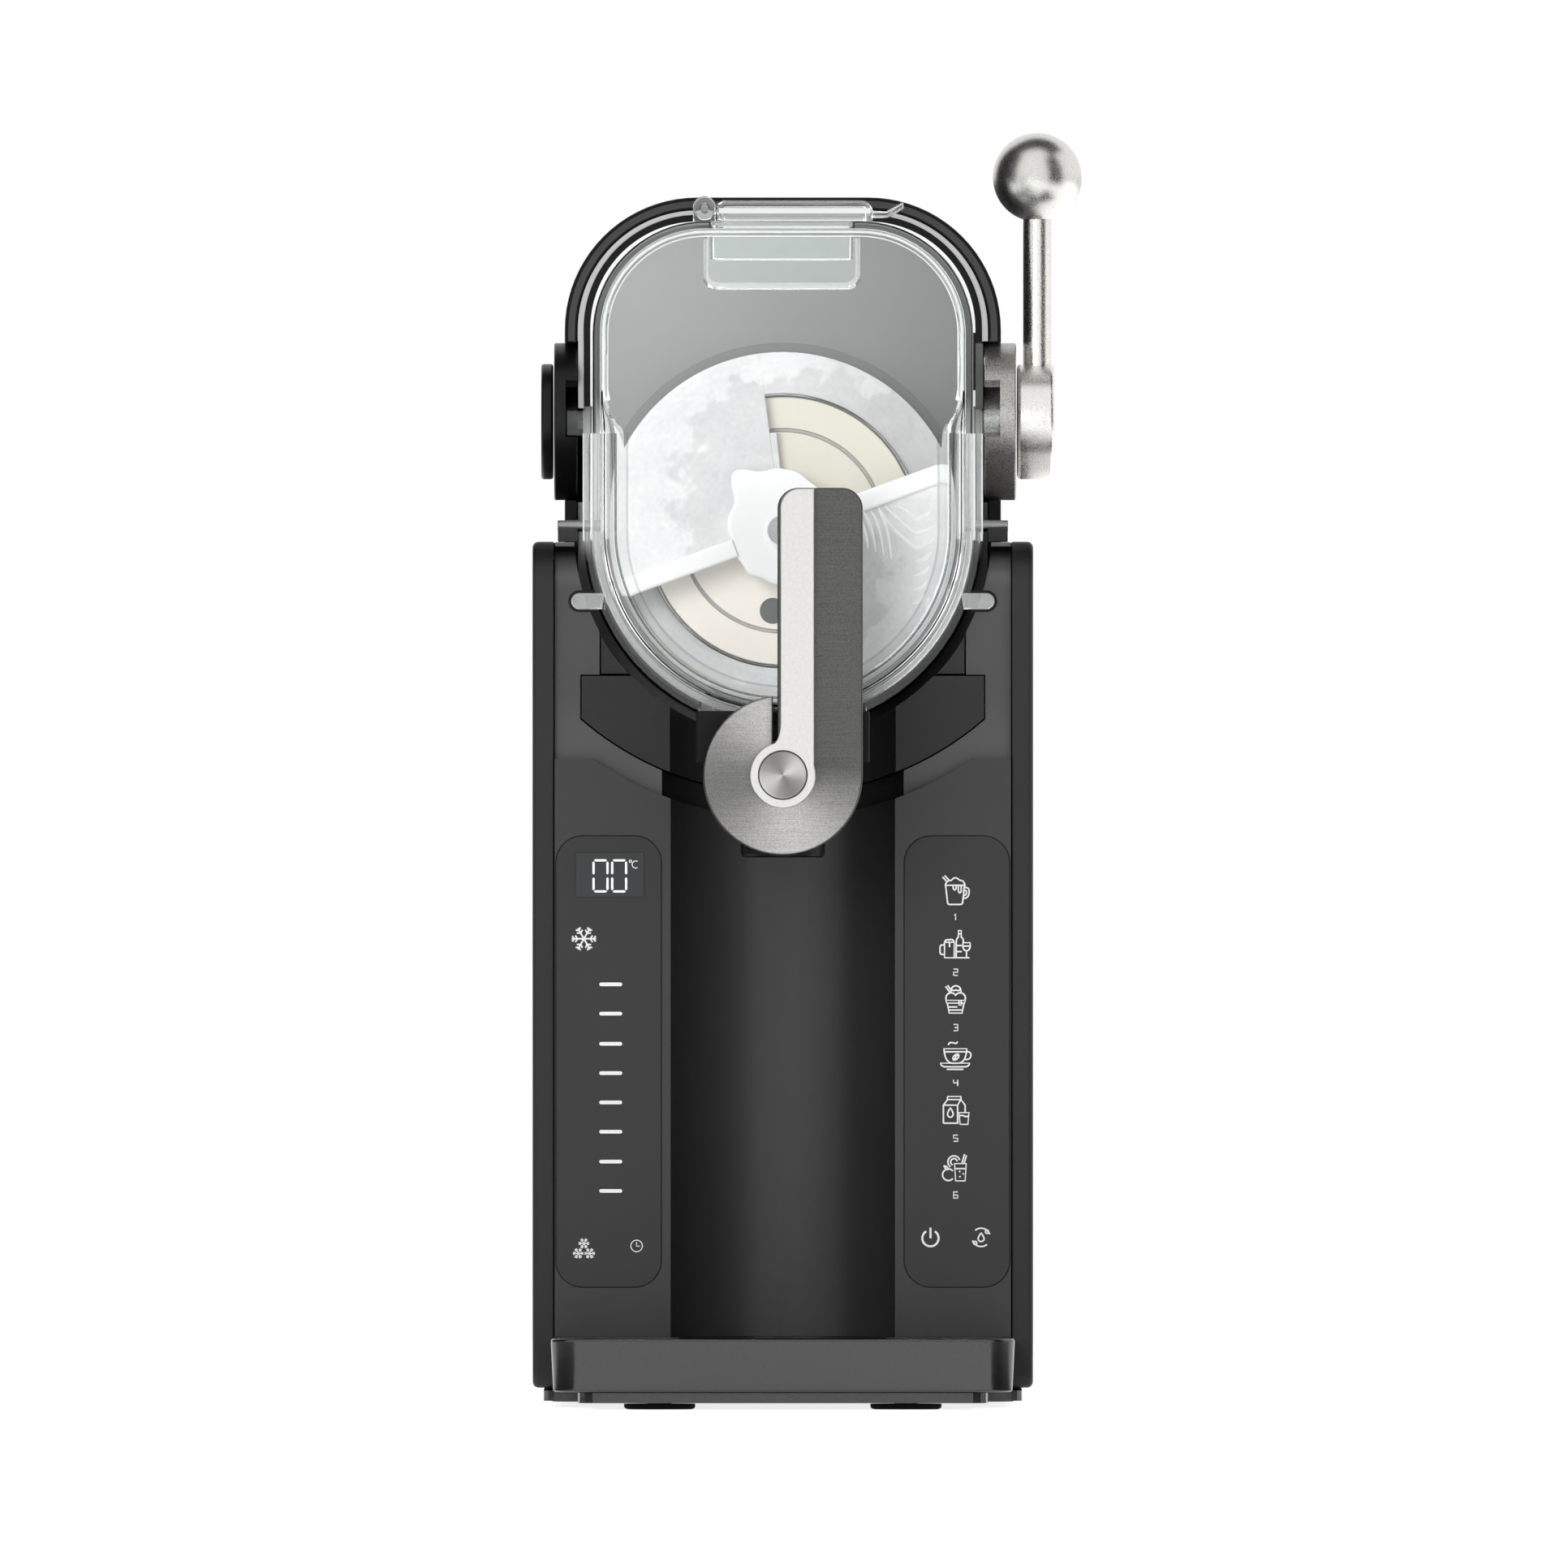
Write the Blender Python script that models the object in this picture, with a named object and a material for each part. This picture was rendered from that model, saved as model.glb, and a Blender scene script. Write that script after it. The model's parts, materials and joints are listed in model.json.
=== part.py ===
"""Countertop slush machine with a lift-off clear vessel, as an assembly of named pieces.

The front faces -Y and +Z is up. All numbers below are millimetres from the middle plane of
the machine and from the floor; mesh_object() turns them into metres.
"""

import math

import bmesh
import bpy
from mathutils import Matrix, Vector

MM = 0.001
GAP = 0.3
ROUND = 26
SMALL = 12

# Outside of the machine
BODY_HALF = 84.6
SIDE_INNER = 77.4
SIDE_BOTTOM = 6.6
SIDE_TOP = 292.6
SIDE_FRONT = -90.0
REAR = 187.5
TRAY_FRONT = -187.5

# Fascia, cup niche and upper panel
FASCIA_FRONT = -92.0
FASCIA_WALL = 3.0
FASCIA_HALF = 77.1
NICHE_RADIUS = 37.9
FASCIA_TOP = 219.2
ARCH_Z = 311.2
ARCH_RADIUS = 112.0
UPPER_FRONT = -86.0
UPPER_TOP = 292.4
UPPER_OPENING = 61.9

# Control panels
PANEL_INNER = 41.1
PANEL_OUTER = 76.6
PANEL_LOW = 40.7
PANEL_HIGH = 193.1
PANEL_CORNER = 9.0
WINDOW = (-70.0, -46.9, 172.4, 187.6)

# Condensation catch
CATCH_HALF = 68.0
CATCH_TOP = 247.2
CATCH_FRONT = -87.0
CATCH_BACK = -47.0
CATCH_ARCH = 103.7

# Tower
TOWER_HALF = 73.7
TOWER_TOP = 409.5
TOWER_CORNER = 47.6
TOWER_FRONT = 42.0
TOWER_BOTTOM = 289.4
PLATE_FRONT = 48.0
PLATE_BACK = 52.0

# Vessel
AXIS_Z = 296.2
VESSEL_HALF = 64.2
VESSEL_TOP = 400.6
VESSEL_CORNER = 38.0
VESSEL_FRONT = -137.0
VESSEL_WALL = 3.0
FACE_FILLET = 8.0
FACE_INSET_HIGH = 5.0
FACE_INSET_LOW = 10.7
FACE_STEP_HIGH = 340.2
FACE_STEP_LOW = 329.0
FLANGE_FRONT = 41.5
FLANGE_BACK = 45.5
FLANGE_OUT = 3.8
SWEEP_RADIUS = 70.6

# Filling port and lid
PORT = (-27.0, 26.3, -104.0, -44.0)
PORT_BOTTOM = 378.0
HINGE_X = -26.5
HINGE_Z = 405.4
HINGE_RADIUS = 3.85
LID_Y = (-106.5, -41.5)
BARREL_Y = (-102.0, -46.0)

# Tap
TAP_Y = -123.0
TAP_Z = 213.7
PLUG_RADIUS = 12.0
NOZZLE_RADIUS = 14.2
NOZZLE_BOTTOM = 185.9
DISC_RADIUS = 26.95
HANDLE_TOP = 310.5
HANDLE_LEFT = -1.8
HANDLE_BACK = -157.5
HANDLE_FRONT = -165.5
STRIP_RIGHT = 10.6
STRIP_FRONT = -170.0
RING_RADIUS = 11.55
CAP_RADIUS = 8.8

# Cooling drum, auger and drive
DRUM_RADIUS = 45.0
DRUM_FRONT = -97.0
CAP_FRONT = -101.0
AUGER_RADIUS = 60.4
AUGER_BORE = 46.5
AUGER_PITCH = 48.0
AUGER_FRONT = -119.0
AUGER_BACK = 38.0
AUGER_HUB = 16.5
SCOOP_SWEEP = 100.0
SHAFT_RADIUS = 5.0
GEAR_MODULE = 2.1
GEAR_TEETH = 30
PINION_TEETH = 10
GEAR_Y = (108.0, 118.0)
MOTOR_Z = AXIS_Z + GEAR_MODULE * (GEAR_TEETH + PINION_TEETH) / 2

# Vessel lock
LOCK_Y = 58.0
LOCK_Z = 333.9
LOCK_RADIUS = 26.7
LOCK_INNER = 68.4
LOCK_OUTER_LEFT = 77.7
LOCK_OUTER_RIGHT = 79.3
HUB_RADIUS = 19.6
HUB_RIGHT = 92.3
HUB_LEFT = 82.1
STEM_X = 86.5
STEM_RADIUS = 4.8
BALL_Z = 416.9
BALL_RADIUS = 15.1
LUG_LOW = 329.2
LUG_HIGH = 337.4
LUG_OUT = 73.3

# Tray and base
TRAY_HALF = 78.2
TRAY_BOTTOM = 6.0
TRAY_TOP = 23.9
TRAY_CORNER = 10.0
TRAY_BACK = -92.4
BASE_LOW = 2.2
BASE_HIGH = 5.7
FOOT_RADIUS = 12.0
FEET = {"front": (41.5, -160.0), "rear": (67.6, 150.0)}

# Cooling unit
COMPRESSOR_Y = 128.0
FAN_Z = 66.0
FAN_Y = 61.0

# The lever stands out on the right, so the middle plane lies left of the origin.
MIDDLE_X = -(STEM_X + BALL_RADIUS - BODY_HALF) / 2

# Where each moving group turns or starts its slide
ORIGINS = {
    "body": (0, 0, 0),
    "vessel": (0, PLATE_FRONT, AXIS_Z),
    "lid": (HINGE_X, sum(LID_Y) / 2, HINGE_Z),
    "handle": (0, HANDLE_FRONT, TAP_Z),
    "lever": (0, LOCK_Y, LOCK_Z),
    "auger": (0, GEAR_Y[0], AXIS_Z),
    "rotor": (0, GEAR_Y[0], MOTOR_Z),
    "fan": (0, FAN_Y, FAN_Z),
    "tray": (0, TRAY_FRONT, TRAY_BOTTOM),
    "grid": (0, TRAY_FRONT, TRAY_TOP),
    "catch": (0, CATCH_FRONT, CATCH_TOP),
}

# Finish: screen colour, roughness, metallic, alpha
FINISHES = {
    "fascia_plastic": ((66, 66, 66), 0.5, 0.0, 1.0),
    "side_plastic": ((58, 58, 58), 0.5, 0.0, 1.0),
    "upper_plastic": ((88, 88, 88), 0.5, 0.0, 1.0),
    "tray_plastic": ((80, 80, 80), 0.45, 0.0, 1.0),
    "black_plastic": ((26, 26, 26), 0.45, 0.0, 1.0),
    "grey_plastic": ((156, 158, 158), 0.5, 0.0, 1.0),
    "panel_gloss": ((70, 70, 70), 0.25, 0.0, 1.0),
    "display_gloss": ((54, 57, 61), 0.15, 0.0, 1.0),
    "clear_plastic": ((226, 238, 238), 0.08, 0.0, 0.3),
    "white_plastic": ((236, 236, 234), 0.4, 0.0, 1.0),
    "cream_plastic": ((226, 218, 200), 0.45, 0.0, 1.0),
    "brushed_steel": ((150, 148, 145), 0.35, 1.0, 1.0),
    "pale_metal": ((205, 205, 203), 0.4, 1.0, 1.0),
    "polished_steel": ((190, 190, 190), 0.18, 1.0, 1.0),
    "plain_steel": ((160, 160, 162), 0.4, 1.0, 1.0),
    "black_rubber": ((28, 28, 28), 0.8, 0.0, 1.0),
    "grey_rubber": ((96, 98, 98), 0.7, 0.0, 1.0),
    "black_paint": ((22, 22, 24), 0.5, 0.0, 1.0),
    "aluminium": ((190, 192, 194), 0.4, 1.0, 1.0),
    "copper": ((196, 122, 84), 0.3, 1.0, 1.0),
    "circuit_board": ((22, 74, 46), 0.5, 0.0, 1.0),
}


def clear_scene():
    for item in list(bpy.data.objects):
        bpy.data.objects.remove(item)


def linear(level):
    """One screen colour level from 0 to 255 as a linear value."""
    level = level / 255
    return level / 12.92 if level <= 0.04045 else ((level + 0.055) / 1.055) ** 2.4


def finish(name):
    """The material of this finish, made the first time it is asked for."""
    found = bpy.data.materials.get(name)
    if found:
        return found
    screen, roughness, metallic, alpha = FINISHES[name]
    made = bpy.data.materials.new(name)
    made.use_nodes = True
    shader = made.node_tree.nodes["Principled BSDF"]
    shader.inputs["Base Color"].default_value = [linear(c) for c in screen] + [1.0]
    shader.inputs["Roughness"].default_value = roughness
    shader.inputs["Metallic"].default_value = metallic
    shader.inputs["Alpha"].default_value = alpha
    return made


def make_axes():
    """One empty for the machine and one on the axis of each moving group."""
    machine = bpy.data.objects.new("machine", None)
    machine.location = (MIDDLE_X * MM, 0, 0)
    bpy.context.scene.collection.objects.link(machine)
    for group, origin in ORIGINS.items():
        axis = bpy.data.objects.new(group + "_axis", None)
        axis.location = Vector(origin) * MM
        axis.parent = machine
        bpy.context.scene.collection.objects.link(axis)


# Shapes

def point(u, v, along, axis):
    """A point from its place in the outline's plane and its distance along the axis."""
    if axis == "X":
        return Vector((along, u, v))
    if axis == "Y":
        return Vector((u, along, v))
    return Vector((u, v, along))


def arc(centre_u, centre_v, radius, start, end, steps):
    """Points on an arc, angles in degrees, both ends included."""
    found = []
    for k in range(steps + 1):
        angle = math.radians(start + (end - start) * k / steps)
        found.append((centre_u + radius * math.cos(angle), centre_v + radius * math.sin(angle)))
    return found


def loft(rings, closed=False):
    """A skin through rings of equal length, capped at both ends unless closed on itself."""
    shape = bmesh.new()
    rows = [[shape.verts.new(p) for p in ring] for ring in rings]
    pairs = list(zip(rows, rows[1:]))
    if closed:
        pairs.append((rows[-1], rows[0]))
    for low, high in pairs:
        for k in range(len(low)):
            after = (k + 1) % len(low)
            shape.faces.new((low[k], low[after], high[after], high[k]))
    if not closed:
        shape.faces.new(rows[0])
        shape.faces.new(rows[-1])
    return shape


def prism(outline, low, high, axis):
    return loft([[point(u, v, along, axis) for u, v in outline] for along in (low, high)])


def box(x0, x1, y0, y1, z0, z1):
    outline = [(x0, y0), (x1, y0), (x1, y1), (x0, y1)]
    return prism(outline, z0, z1, "Z")


def lathe(profile, axis, centre=(0, 0), steps=ROUND, closed=False):
    """A turned shape. The profile is a list of (radius, distance along the axis)."""
    shape = bmesh.new()
    rows = []
    for radius, along in profile:
        if radius < 1e-6:
            rows.append([shape.verts.new(point(centre[0], centre[1], along, axis))] * steps)
            continue
        ring = arc(centre[0], centre[1], radius, 0, 360, steps)[:-1]
        rows.append([shape.verts.new(point(u, v, along, axis)) for u, v in ring])
    pairs = list(zip(rows, rows[1:]))
    if closed:
        pairs.append((rows[-1], rows[0]))
    for low, high in pairs:
        for k in range(steps):
            after = (k + 1) % steps
            corners = []
            for vertex in (low[k], low[after], high[after], high[k]):
                if vertex not in corners:
                    corners.append(vertex)
            if len(corners) > 2:
                shape.faces.new(corners)
    if not closed:
        for row in (rows[0], rows[-1]):
            if row[0] is not row[1]:
                shape.faces.new(row)
    return shape


def cylinder(radius, low, high, axis, centre=(0, 0), steps=SMALL):
    return lathe([(radius, low), (radius, high)], axis, centre, steps)


def tube(inner, outer, low, high, axis, centre=(0, 0), steps=ROUND):
    profile = [(inner, low), (outer, low), (outer, high), (inner, high)]
    return lathe(profile, axis, centre, steps, closed=True)


def merged(*parts):
    """Several separate shapes as one mesh, for use as a cutter or an addition."""
    whole = bmesh.new()
    for part in parts:
        mesh = bpy.data.meshes.new("merging")
        part.to_mesh(mesh)
        whole.from_mesh(mesh)
        bpy.data.meshes.remove(mesh)
        part.free()
    return whole


def mesh_object(name, shape, group):
    """An object in metres with its origin on the axis of its group."""
    bmesh.ops.translate(shape, verts=shape.verts, vec=-Vector(ORIGINS[group]))
    bmesh.ops.scale(shape, verts=shape.verts, vec=(MM, MM, MM))
    bmesh.ops.recalc_face_normals(shape, faces=shape.faces)
    mesh = bpy.data.meshes.new(name)
    shape.to_mesh(mesh)
    shape.free()
    made = bpy.data.objects.new(name, mesh)
    made.parent = bpy.data.objects[group + "_axis"]
    bpy.context.scene.collection.objects.link(made)
    return made


def piece(name, shape, group, look):
    made = mesh_object(name, shape, group)
    made.data.materials.append(finish(look))
    made.data.shade_smooth()
    made.data.set_sharp_from_angle(angle=math.radians(35))
    made["group"] = group
    return made


def combine(target, shape, operation):
    """Joins a helper shape to a piece or cuts it away, with an exact Boolean."""
    number = len(target.modifiers) + 1
    helper = mesh_object(f"{target.name}_helper_{number}", shape, target["group"])
    helper.hide_render = True
    helper.display_type = "WIRE"
    step = target.modifiers.new(f"step_{number}", "BOOLEAN")
    step.object = helper
    step.operation = operation
    step.solver = "EXACT"


def join(target, *shapes):
    for shape in shapes:
        combine(target, shape, "UNION")


def cut(target, *shapes):
    for shape in shapes:
        combine(target, shape, "DIFFERENCE")


def pair(side, near, far):
    """The two X limits of a span that is mirrored to the left when side is -1."""
    return (near, far) if side > 0 else (-far, -near)


# Outlines

def rounded_box(u0, u1, v0, v1, radius, steps=4):
    found = arc(u1 - radius, v0 + radius, radius, -90, 0, steps)
    found += arc(u1 - radius, v1 - radius, radius, 0, 90, steps)
    found += arc(u0 + radius, v1 - radius, radius, 90, 180, steps)
    found += arc(u0 + radius, v0 + radius, radius, 180, 270, steps)
    return found


def arched(half, top, corner, bottom, steps=8):
    """A flat-footed outline with two round top corners."""
    found = [(-half, bottom), (half, bottom)]
    found += arc(half - corner, top - corner, corner, 0, 90, steps)
    found += arc(corner - half, top - corner, corner, 90, 180, steps)
    return found


def vessel_outline():
    """Points of the vessel's section with their outward normals."""
    found = []
    for k in range(25):
        angle = math.radians(180 + 180 * k / 24)
        found.append((VESSEL_HALF, 0, AXIS_Z, angle))
    heights = (FACE_STEP_LOW, FACE_STEP_HIGH)
    found += [(VESSEL_HALF, 0, z, 0.0) for z in heights]
    for k in range(8):
        angle = math.radians(90 * k / 7)
        found.append((VESSEL_CORNER, VESSEL_HALF - VESSEL_CORNER, VESSEL_TOP - VESSEL_CORNER, angle))
    for k in range(8):
        angle = math.radians(90 + 90 * k / 7)
        found.append((VESSEL_CORNER, VESSEL_CORNER - VESSEL_HALF, VESSEL_TOP - VESSEL_CORNER, angle))
    found += [(VESSEL_HALF, 0, z, math.pi) for z in reversed(heights)]
    return found


def vessel_ring(offset, y, inset_share=0.0):
    """The vessel's section grown by an offset and drawn in toward its front face."""
    ring = []
    for radius, centre_x, centre_z, angle in vessel_outline():
        z = centre_z + radius * math.sin(angle)
        share = (z - FACE_STEP_LOW) / (FACE_STEP_HIGH - FACE_STEP_LOW)
        share = min(1.0, max(0.0, share))
        inset = FACE_INSET_LOW + (FACE_INSET_HIGH - FACE_INSET_LOW) * share
        reach = radius + offset - inset * inset_share
        ring.append(Vector((centre_x + reach * math.cos(angle), y, centre_z + reach * math.sin(angle))))
    return ring


def tray_outline(offset):
    """The tray's plan: round front corners and a half-round lobe in the cup niche."""
    half = TRAY_HALF + offset
    front = TRAY_FRONT - offset
    back = TRAY_BACK + offset
    corner = TRAY_CORNER + offset
    lobe = NICHE_RADIUS - 0.5 + offset
    start = math.degrees(math.asin((back - FASCIA_FRONT) / lobe))
    found = arc(corner - half, front + corner, corner, 180, 270, 5)
    found += arc(half - corner, front + corner, corner, 270, 360, 5)
    found.append((half, back))
    found += arc(0, FASCIA_FRONT, lobe, start, 180 - start, 16)
    found.append((-half, back))
    return found


def gear_outline(teeth, turn):
    """Straight-flanked teeth, thinned so that the pair turns with backlash."""
    root = GEAR_MODULE * (teeth / 2 - 1.2)
    tip = GEAR_MODULE * (teeth / 2 + 0.83)
    wide, narrow = GEAR_MODULE * 0.88, GEAR_MODULE * 0.27
    found = []
    steps = ((-wide, root), (-narrow, tip), (narrow, tip), (wide, root))
    for k in range(teeth):
        middle = math.radians(turn + 360 * k / teeth)
        for half_width, radius in steps:
            angle = middle + half_width / radius
            found.append((radius * math.cos(angle), radius * math.sin(angle)))
    return found


# Base, feet and outer panels

def base_plate():
    outline = rounded_box(-81, 81, -88, 186, 6)
    plate = piece("base_plate", prism(outline, BASE_LOW, BASE_HIGH, "Z"), "body", "black_plastic")
    tongue = rounded_box(-69, 69, -181, -60, 8)
    join(plate, prism(tongue, BASE_LOW + 0.01, BASE_HIGH - 0.01, "Z"))
    holes = []
    for x, y in FEET.values():
        for side in (-1, 1):
            holes.append(cylinder(4.3, BASE_LOW - 2, BASE_HIGH + 2, "Z", (side * x, y)))
    cut(plate, merged(*holes))


def feet():
    """Rubber pads, each with a stem pressed through the base plate."""
    for place, (x, y) in FEET.items():
        for side, hand in ((-1, "left"), (1, "right")):
            profile = [(0, 0), (FOOT_RADIUS - 0.8, 0), (FOOT_RADIUS, 0.8), (FOOT_RADIUS, BASE_LOW - GAP)]
            profile += [(4, BASE_LOW - GAP), (4, BASE_HIGH - 0.2), (0, BASE_HIGH - 0.2)]
            shape = lathe(profile, "Z", (side * x, y), 18)
            piece(f"foot_{place}_{hand}", shape, "body", "black_rubber")


def side_panels():
    """Hollow side shells with vent slots and the rails that carry the catch."""
    for side, name in ((-1, "left_side_panel"), (1, "right_side_panel")):
        outline = rounded_box(SIDE_FRONT, REAR, SIDE_BOTTOM, SIDE_TOP, 5, 3)
        low, high = pair(side, SIDE_INNER, BODY_HALF)
        panel = piece(name, prism(outline, low, high, "X"), "body", "side_plastic")
        hollow = rounded_box(SIDE_FRONT + 5, REAR - 5, SIDE_BOTTOM + 5, SIDE_TOP - 5, 4, 2)
        low, high = pair(side, SIDE_INNER - 2, BODY_HALF - 2.4)
        cut(panel, prism(hollow, low, high, "X"))
        low, high = pair(side, 70, 90)
        slots = [box(low, high, 10 + 15 * k, 14 + 15 * k, 40, 112) for k in range(7)]
        cut(panel, merged(*slots))
        low, high = pair(side, 64.6, BODY_HALF - 1.2)
        join(panel, box(low, high, -82, -48, 239.8, 243.4))


def rear_panel():
    outline = rounded_box(-FASCIA_HALF, FASCIA_HALF, 6.9, TOWER_BOTTOM - GAP, 3, 2)
    panel = piece("rear_panel", prism(outline, REAR - 3, REAR, "Y"), "body", "side_plastic")
    slots = []
    for k in range(6):
        low = 72 + 14 * k
        slots += [box(-62, -4, REAR - 9, REAR + 9, low, low + 6), box(4, 62, REAR - 9, REAR + 9, low, low + 6)]
    slots.append(box(29.7, 60.3, REAR - 9, REAR + 9, 19.7, 44.3))
    cut(panel, merged(*slots))


def power_inlet():
    """Appliance inlet in the rear panel; its cord is not part of the machine."""
    inlet = piece("power_inlet", box(30, 60, REAR - 22, REAR - 0.2, 20, 44), "body", "black_plastic")
    cut(inlet, box(33, 57, REAR - 16, REAR + 4, 23.5, 40.5))
    blades = [box(39 + 6 * k, 41 + 6 * k, REAR - 18, REAR - 6, 27 + 4 * (k % 2), 33 + 4 * (k % 2)) for k in (0, 1, 2)]
    join(inlet, merged(*blades))


# Front

def front_fascia():
    """Two pillars and the half-round cup niche in one shell with an arched top."""
    back = FASCIA_FRONT + FASCIA_WALL
    outer = NICHE_RADIUS + FASCIA_WALL
    start = math.degrees(math.asin(FASCIA_WALL / outer))
    outline = [(-FASCIA_HALF, FASCIA_FRONT)]
    outline += arc(0, FASCIA_FRONT, NICHE_RADIUS, 180, 0, 24)
    outline += [(FASCIA_HALF, FASCIA_FRONT), (FASCIA_HALF, back)]
    outline += arc(0, FASCIA_FRONT, outer, start, 180 - start, 24)
    outline.append((-FASCIA_HALF, back))
    fascia = piece("front_fascia", prism(outline, 6.9, FASCIA_TOP, "Z"), "body", "fascia_plastic")
    arch = arc(0, ARCH_Z, ARCH_RADIUS, 234.8, 305.2, 20) + [(64.6, 240), (-64.6, 240)]
    cut(fascia, prism(arch, -100, -40, "Y"))
    for side in (-1, 1):
        low, high = pair(side, PANEL_INNER - GAP, PANEL_OUTER + GAP)
        recess = rounded_box(low, high, PANEL_LOW - GAP, PANEL_HIGH + GAP, PANEL_CORNER + GAP)
        cut(fascia, prism(recess, FASCIA_FRONT - 4, FASCIA_FRONT + 1.4, "Y"))


def control_panels():
    for side, name in ((-1, "left_control_panel"), (1, "right_control_panel")):
        low, high = pair(side, PANEL_INNER, PANEL_OUTER)
        outline = rounded_box(low, high, PANEL_LOW, PANEL_HIGH, PANEL_CORNER)
        shape = prism(outline, FASCIA_FRONT, FASCIA_FRONT + 1.1, "Y")
        panel = piece(name, shape, "body", "panel_gloss")
        if side < 0:
            x0, x1, z0, z1 = WINDOW
            hole = rounded_box(x0 - GAP, x1 + GAP, z0 - GAP, z1 + GAP, 1.5, 3)
            cut(panel, prism(hole, FASCIA_FRONT - 4, FASCIA_FRONT + 4, "Y"))
            glass = rounded_box(x0, x1, z0, z1, 1.2, 3)
            shape = prism(glass, FASCIA_FRONT, FASCIA_FRONT + 1.1, "Y")
            piece("display_window", shape, "body", "display_gloss")


def touch_boards():
    """Circuit boards that sense a finger through the fascia."""
    back = FASCIA_FRONT + FASCIA_WALL + GAP
    for side, name in ((-1, "left_touch_board"), (1, "right_touch_board")):
        low, high = pair(side, 43, 75.5)
        shape = box(low, high, back, back + 1.6, 46, 190)
        piece(name, shape, "body", "circuit_board")


def upper_front_panel():
    """Pale panel behind the fascia's arch, open for the catch and the vessel."""
    inner = NICHE_RADIUS + FASCIA_WALL + 0.4
    outer = inner + 2.8
    back = UPPER_FRONT + 2.8
    start = math.degrees(math.asin((UPPER_FRONT - FASCIA_FRONT) / inner))
    end = math.degrees(math.asin((back - FASCIA_FRONT) / outer))
    outline = [(-FASCIA_HALF, UPPER_FRONT)]
    outline += arc(0, FASCIA_FRONT, inner, 180 - start, start, 24)
    outline += [(FASCIA_HALF, UPPER_FRONT), (FASCIA_HALF, back)]
    outline += arc(0, FASCIA_FRONT, outer, end, 180 - end, 24)
    outline.append((-FASCIA_HALF, back))
    panel = piece("upper_front_panel", prism(outline, 197, UPPER_TOP, "Z"), "body", "upper_plastic")
    half = CATCH_HALF + 0.4
    drop = math.degrees(math.acos(half / (CATCH_ARCH + 0.5)))
    opening = arc(0, ARCH_Z, CATCH_ARCH + 0.5, 180 + drop, 360 - drop, 20)
    opening += [(half, CATCH_TOP + 0.4), (UPPER_OPENING, CATCH_TOP + 0.4), (UPPER_OPENING, 300)]
    opening += [(-UPPER_OPENING, 300), (-UPPER_OPENING, CATCH_TOP + 0.4), (-half, CATCH_TOP + 0.4)]
    cut(panel, prism(opening, -100, -40, "Y"))
    cut(panel, cylinder(SWEEP_RADIUS, -100, -40, "Y", (0, AXIS_Z), 64))


def condensation_catch():
    """Drawer with two pockets under the vessel, hollowed in front to follow the niche."""
    hollow = NICHE_RADIUS + 0.6
    start = math.degrees(math.asin((CATCH_FRONT - FASCIA_FRONT) / hollow))
    outline = [(-CATCH_HALF, CATCH_FRONT)]
    outline += arc(0, FASCIA_FRONT, hollow, 180 - start, start, 20)
    outline += [(CATCH_HALF, CATCH_FRONT), (CATCH_HALF, CATCH_BACK), (-CATCH_HALF, CATCH_BACK)]
    shape = prism(outline, 200, CATCH_TOP, "Z")
    catch = piece("condensation_catch", shape, "catch", "fascia_plastic")
    below = arc(0, ARCH_Z, CATCH_ARCH, 225, 315, 24) + [(90, 190), (-90, 190)]
    cut(catch, prism(below, -100, -40, "Y"))
    for side in (-1, 1):
        low, high = pair(side, 64, 80)
        cut(catch, box(low, high, CATCH_FRONT + 3, -40, 190, 244))
        floor = [(41.5, 219.6), (61.5, 231.4), (61.5, 260), (41.5, 260)]
        pocket = [(side * x, z) for x, z in floor]
        cut(catch, prism(pocket, CATCH_FRONT + 2.5, CATCH_BACK - 2.5, "Y"))
    cut(catch, cylinder(SWEEP_RADIUS, -100, -40, "Y", (0, AXIS_Z), 64))


def vessel_trough():
    """Half-round cradle under the vessel, open at the front bottom above the catch."""
    inner = SWEEP_RADIUS + 0.4
    outer = inner + 2.5
    top = UPPER_TOP
    rise = top - AXIS_Z
    in_angle = math.degrees(math.asin(rise / inner))
    out_angle = math.degrees(math.asin((rise - 3) / outer))
    outline = arc(0, AXIS_Z, inner, 180 - in_angle, 360 + in_angle, 28)
    outline += [(FASCIA_HALF, top), (FASCIA_HALF, top - 3)]
    outline += arc(0, AXIS_Z, outer, 360 + out_angle, 180 - out_angle, 28)
    outline += [(-FASCIA_HALF, top - 3), (-FASCIA_HALF, top)]
    shape = prism(outline, UPPER_FRONT + 2.8 + GAP, PLATE_FRONT - GAP, "Y")
    trough = piece("vessel_trough", shape, "body", "black_plastic")
    cut(trough, box(-76, 76, -95, CATCH_BACK + 1.5, 190, CATCH_TOP + 0.6))
    corners = []
    for side in (-1, 1):
        low, high = pair(side, 60, 90)
        corners.append(box(low, high, TOWER_FRONT - GAP, PLATE_BACK, TOWER_BOTTOM - 0.5, 300))
    cut(trough, merged(*corners))


# Tray

def drip_tray():
    levels = [(-1.4, TRAY_BOTTOM), (0, TRAY_TOP), (-2.2, TRAY_TOP), (-2.2, 20.4), (-4.6, 20.4), (-4.6, 8.5)]
    rings = [[Vector((x, y, z)) for x, y in tray_outline(offset)] for offset, z in levels]
    piece("drip_tray", loft(rings), "tray", "tray_plastic")


def drip_grid():
    shape = prism(tray_outline(-2.6), 20.7, 23.4, "Z")
    grid = piece("drip_grid", shape, "grid", "black_plastic")
    slots = [box(-67.5 + 14.5 * k, -62.5 + 14.5 * k, -176, -102, 15, 30) for k in range(10)]
    cut(grid, merged(*slots))


# Tower

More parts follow.
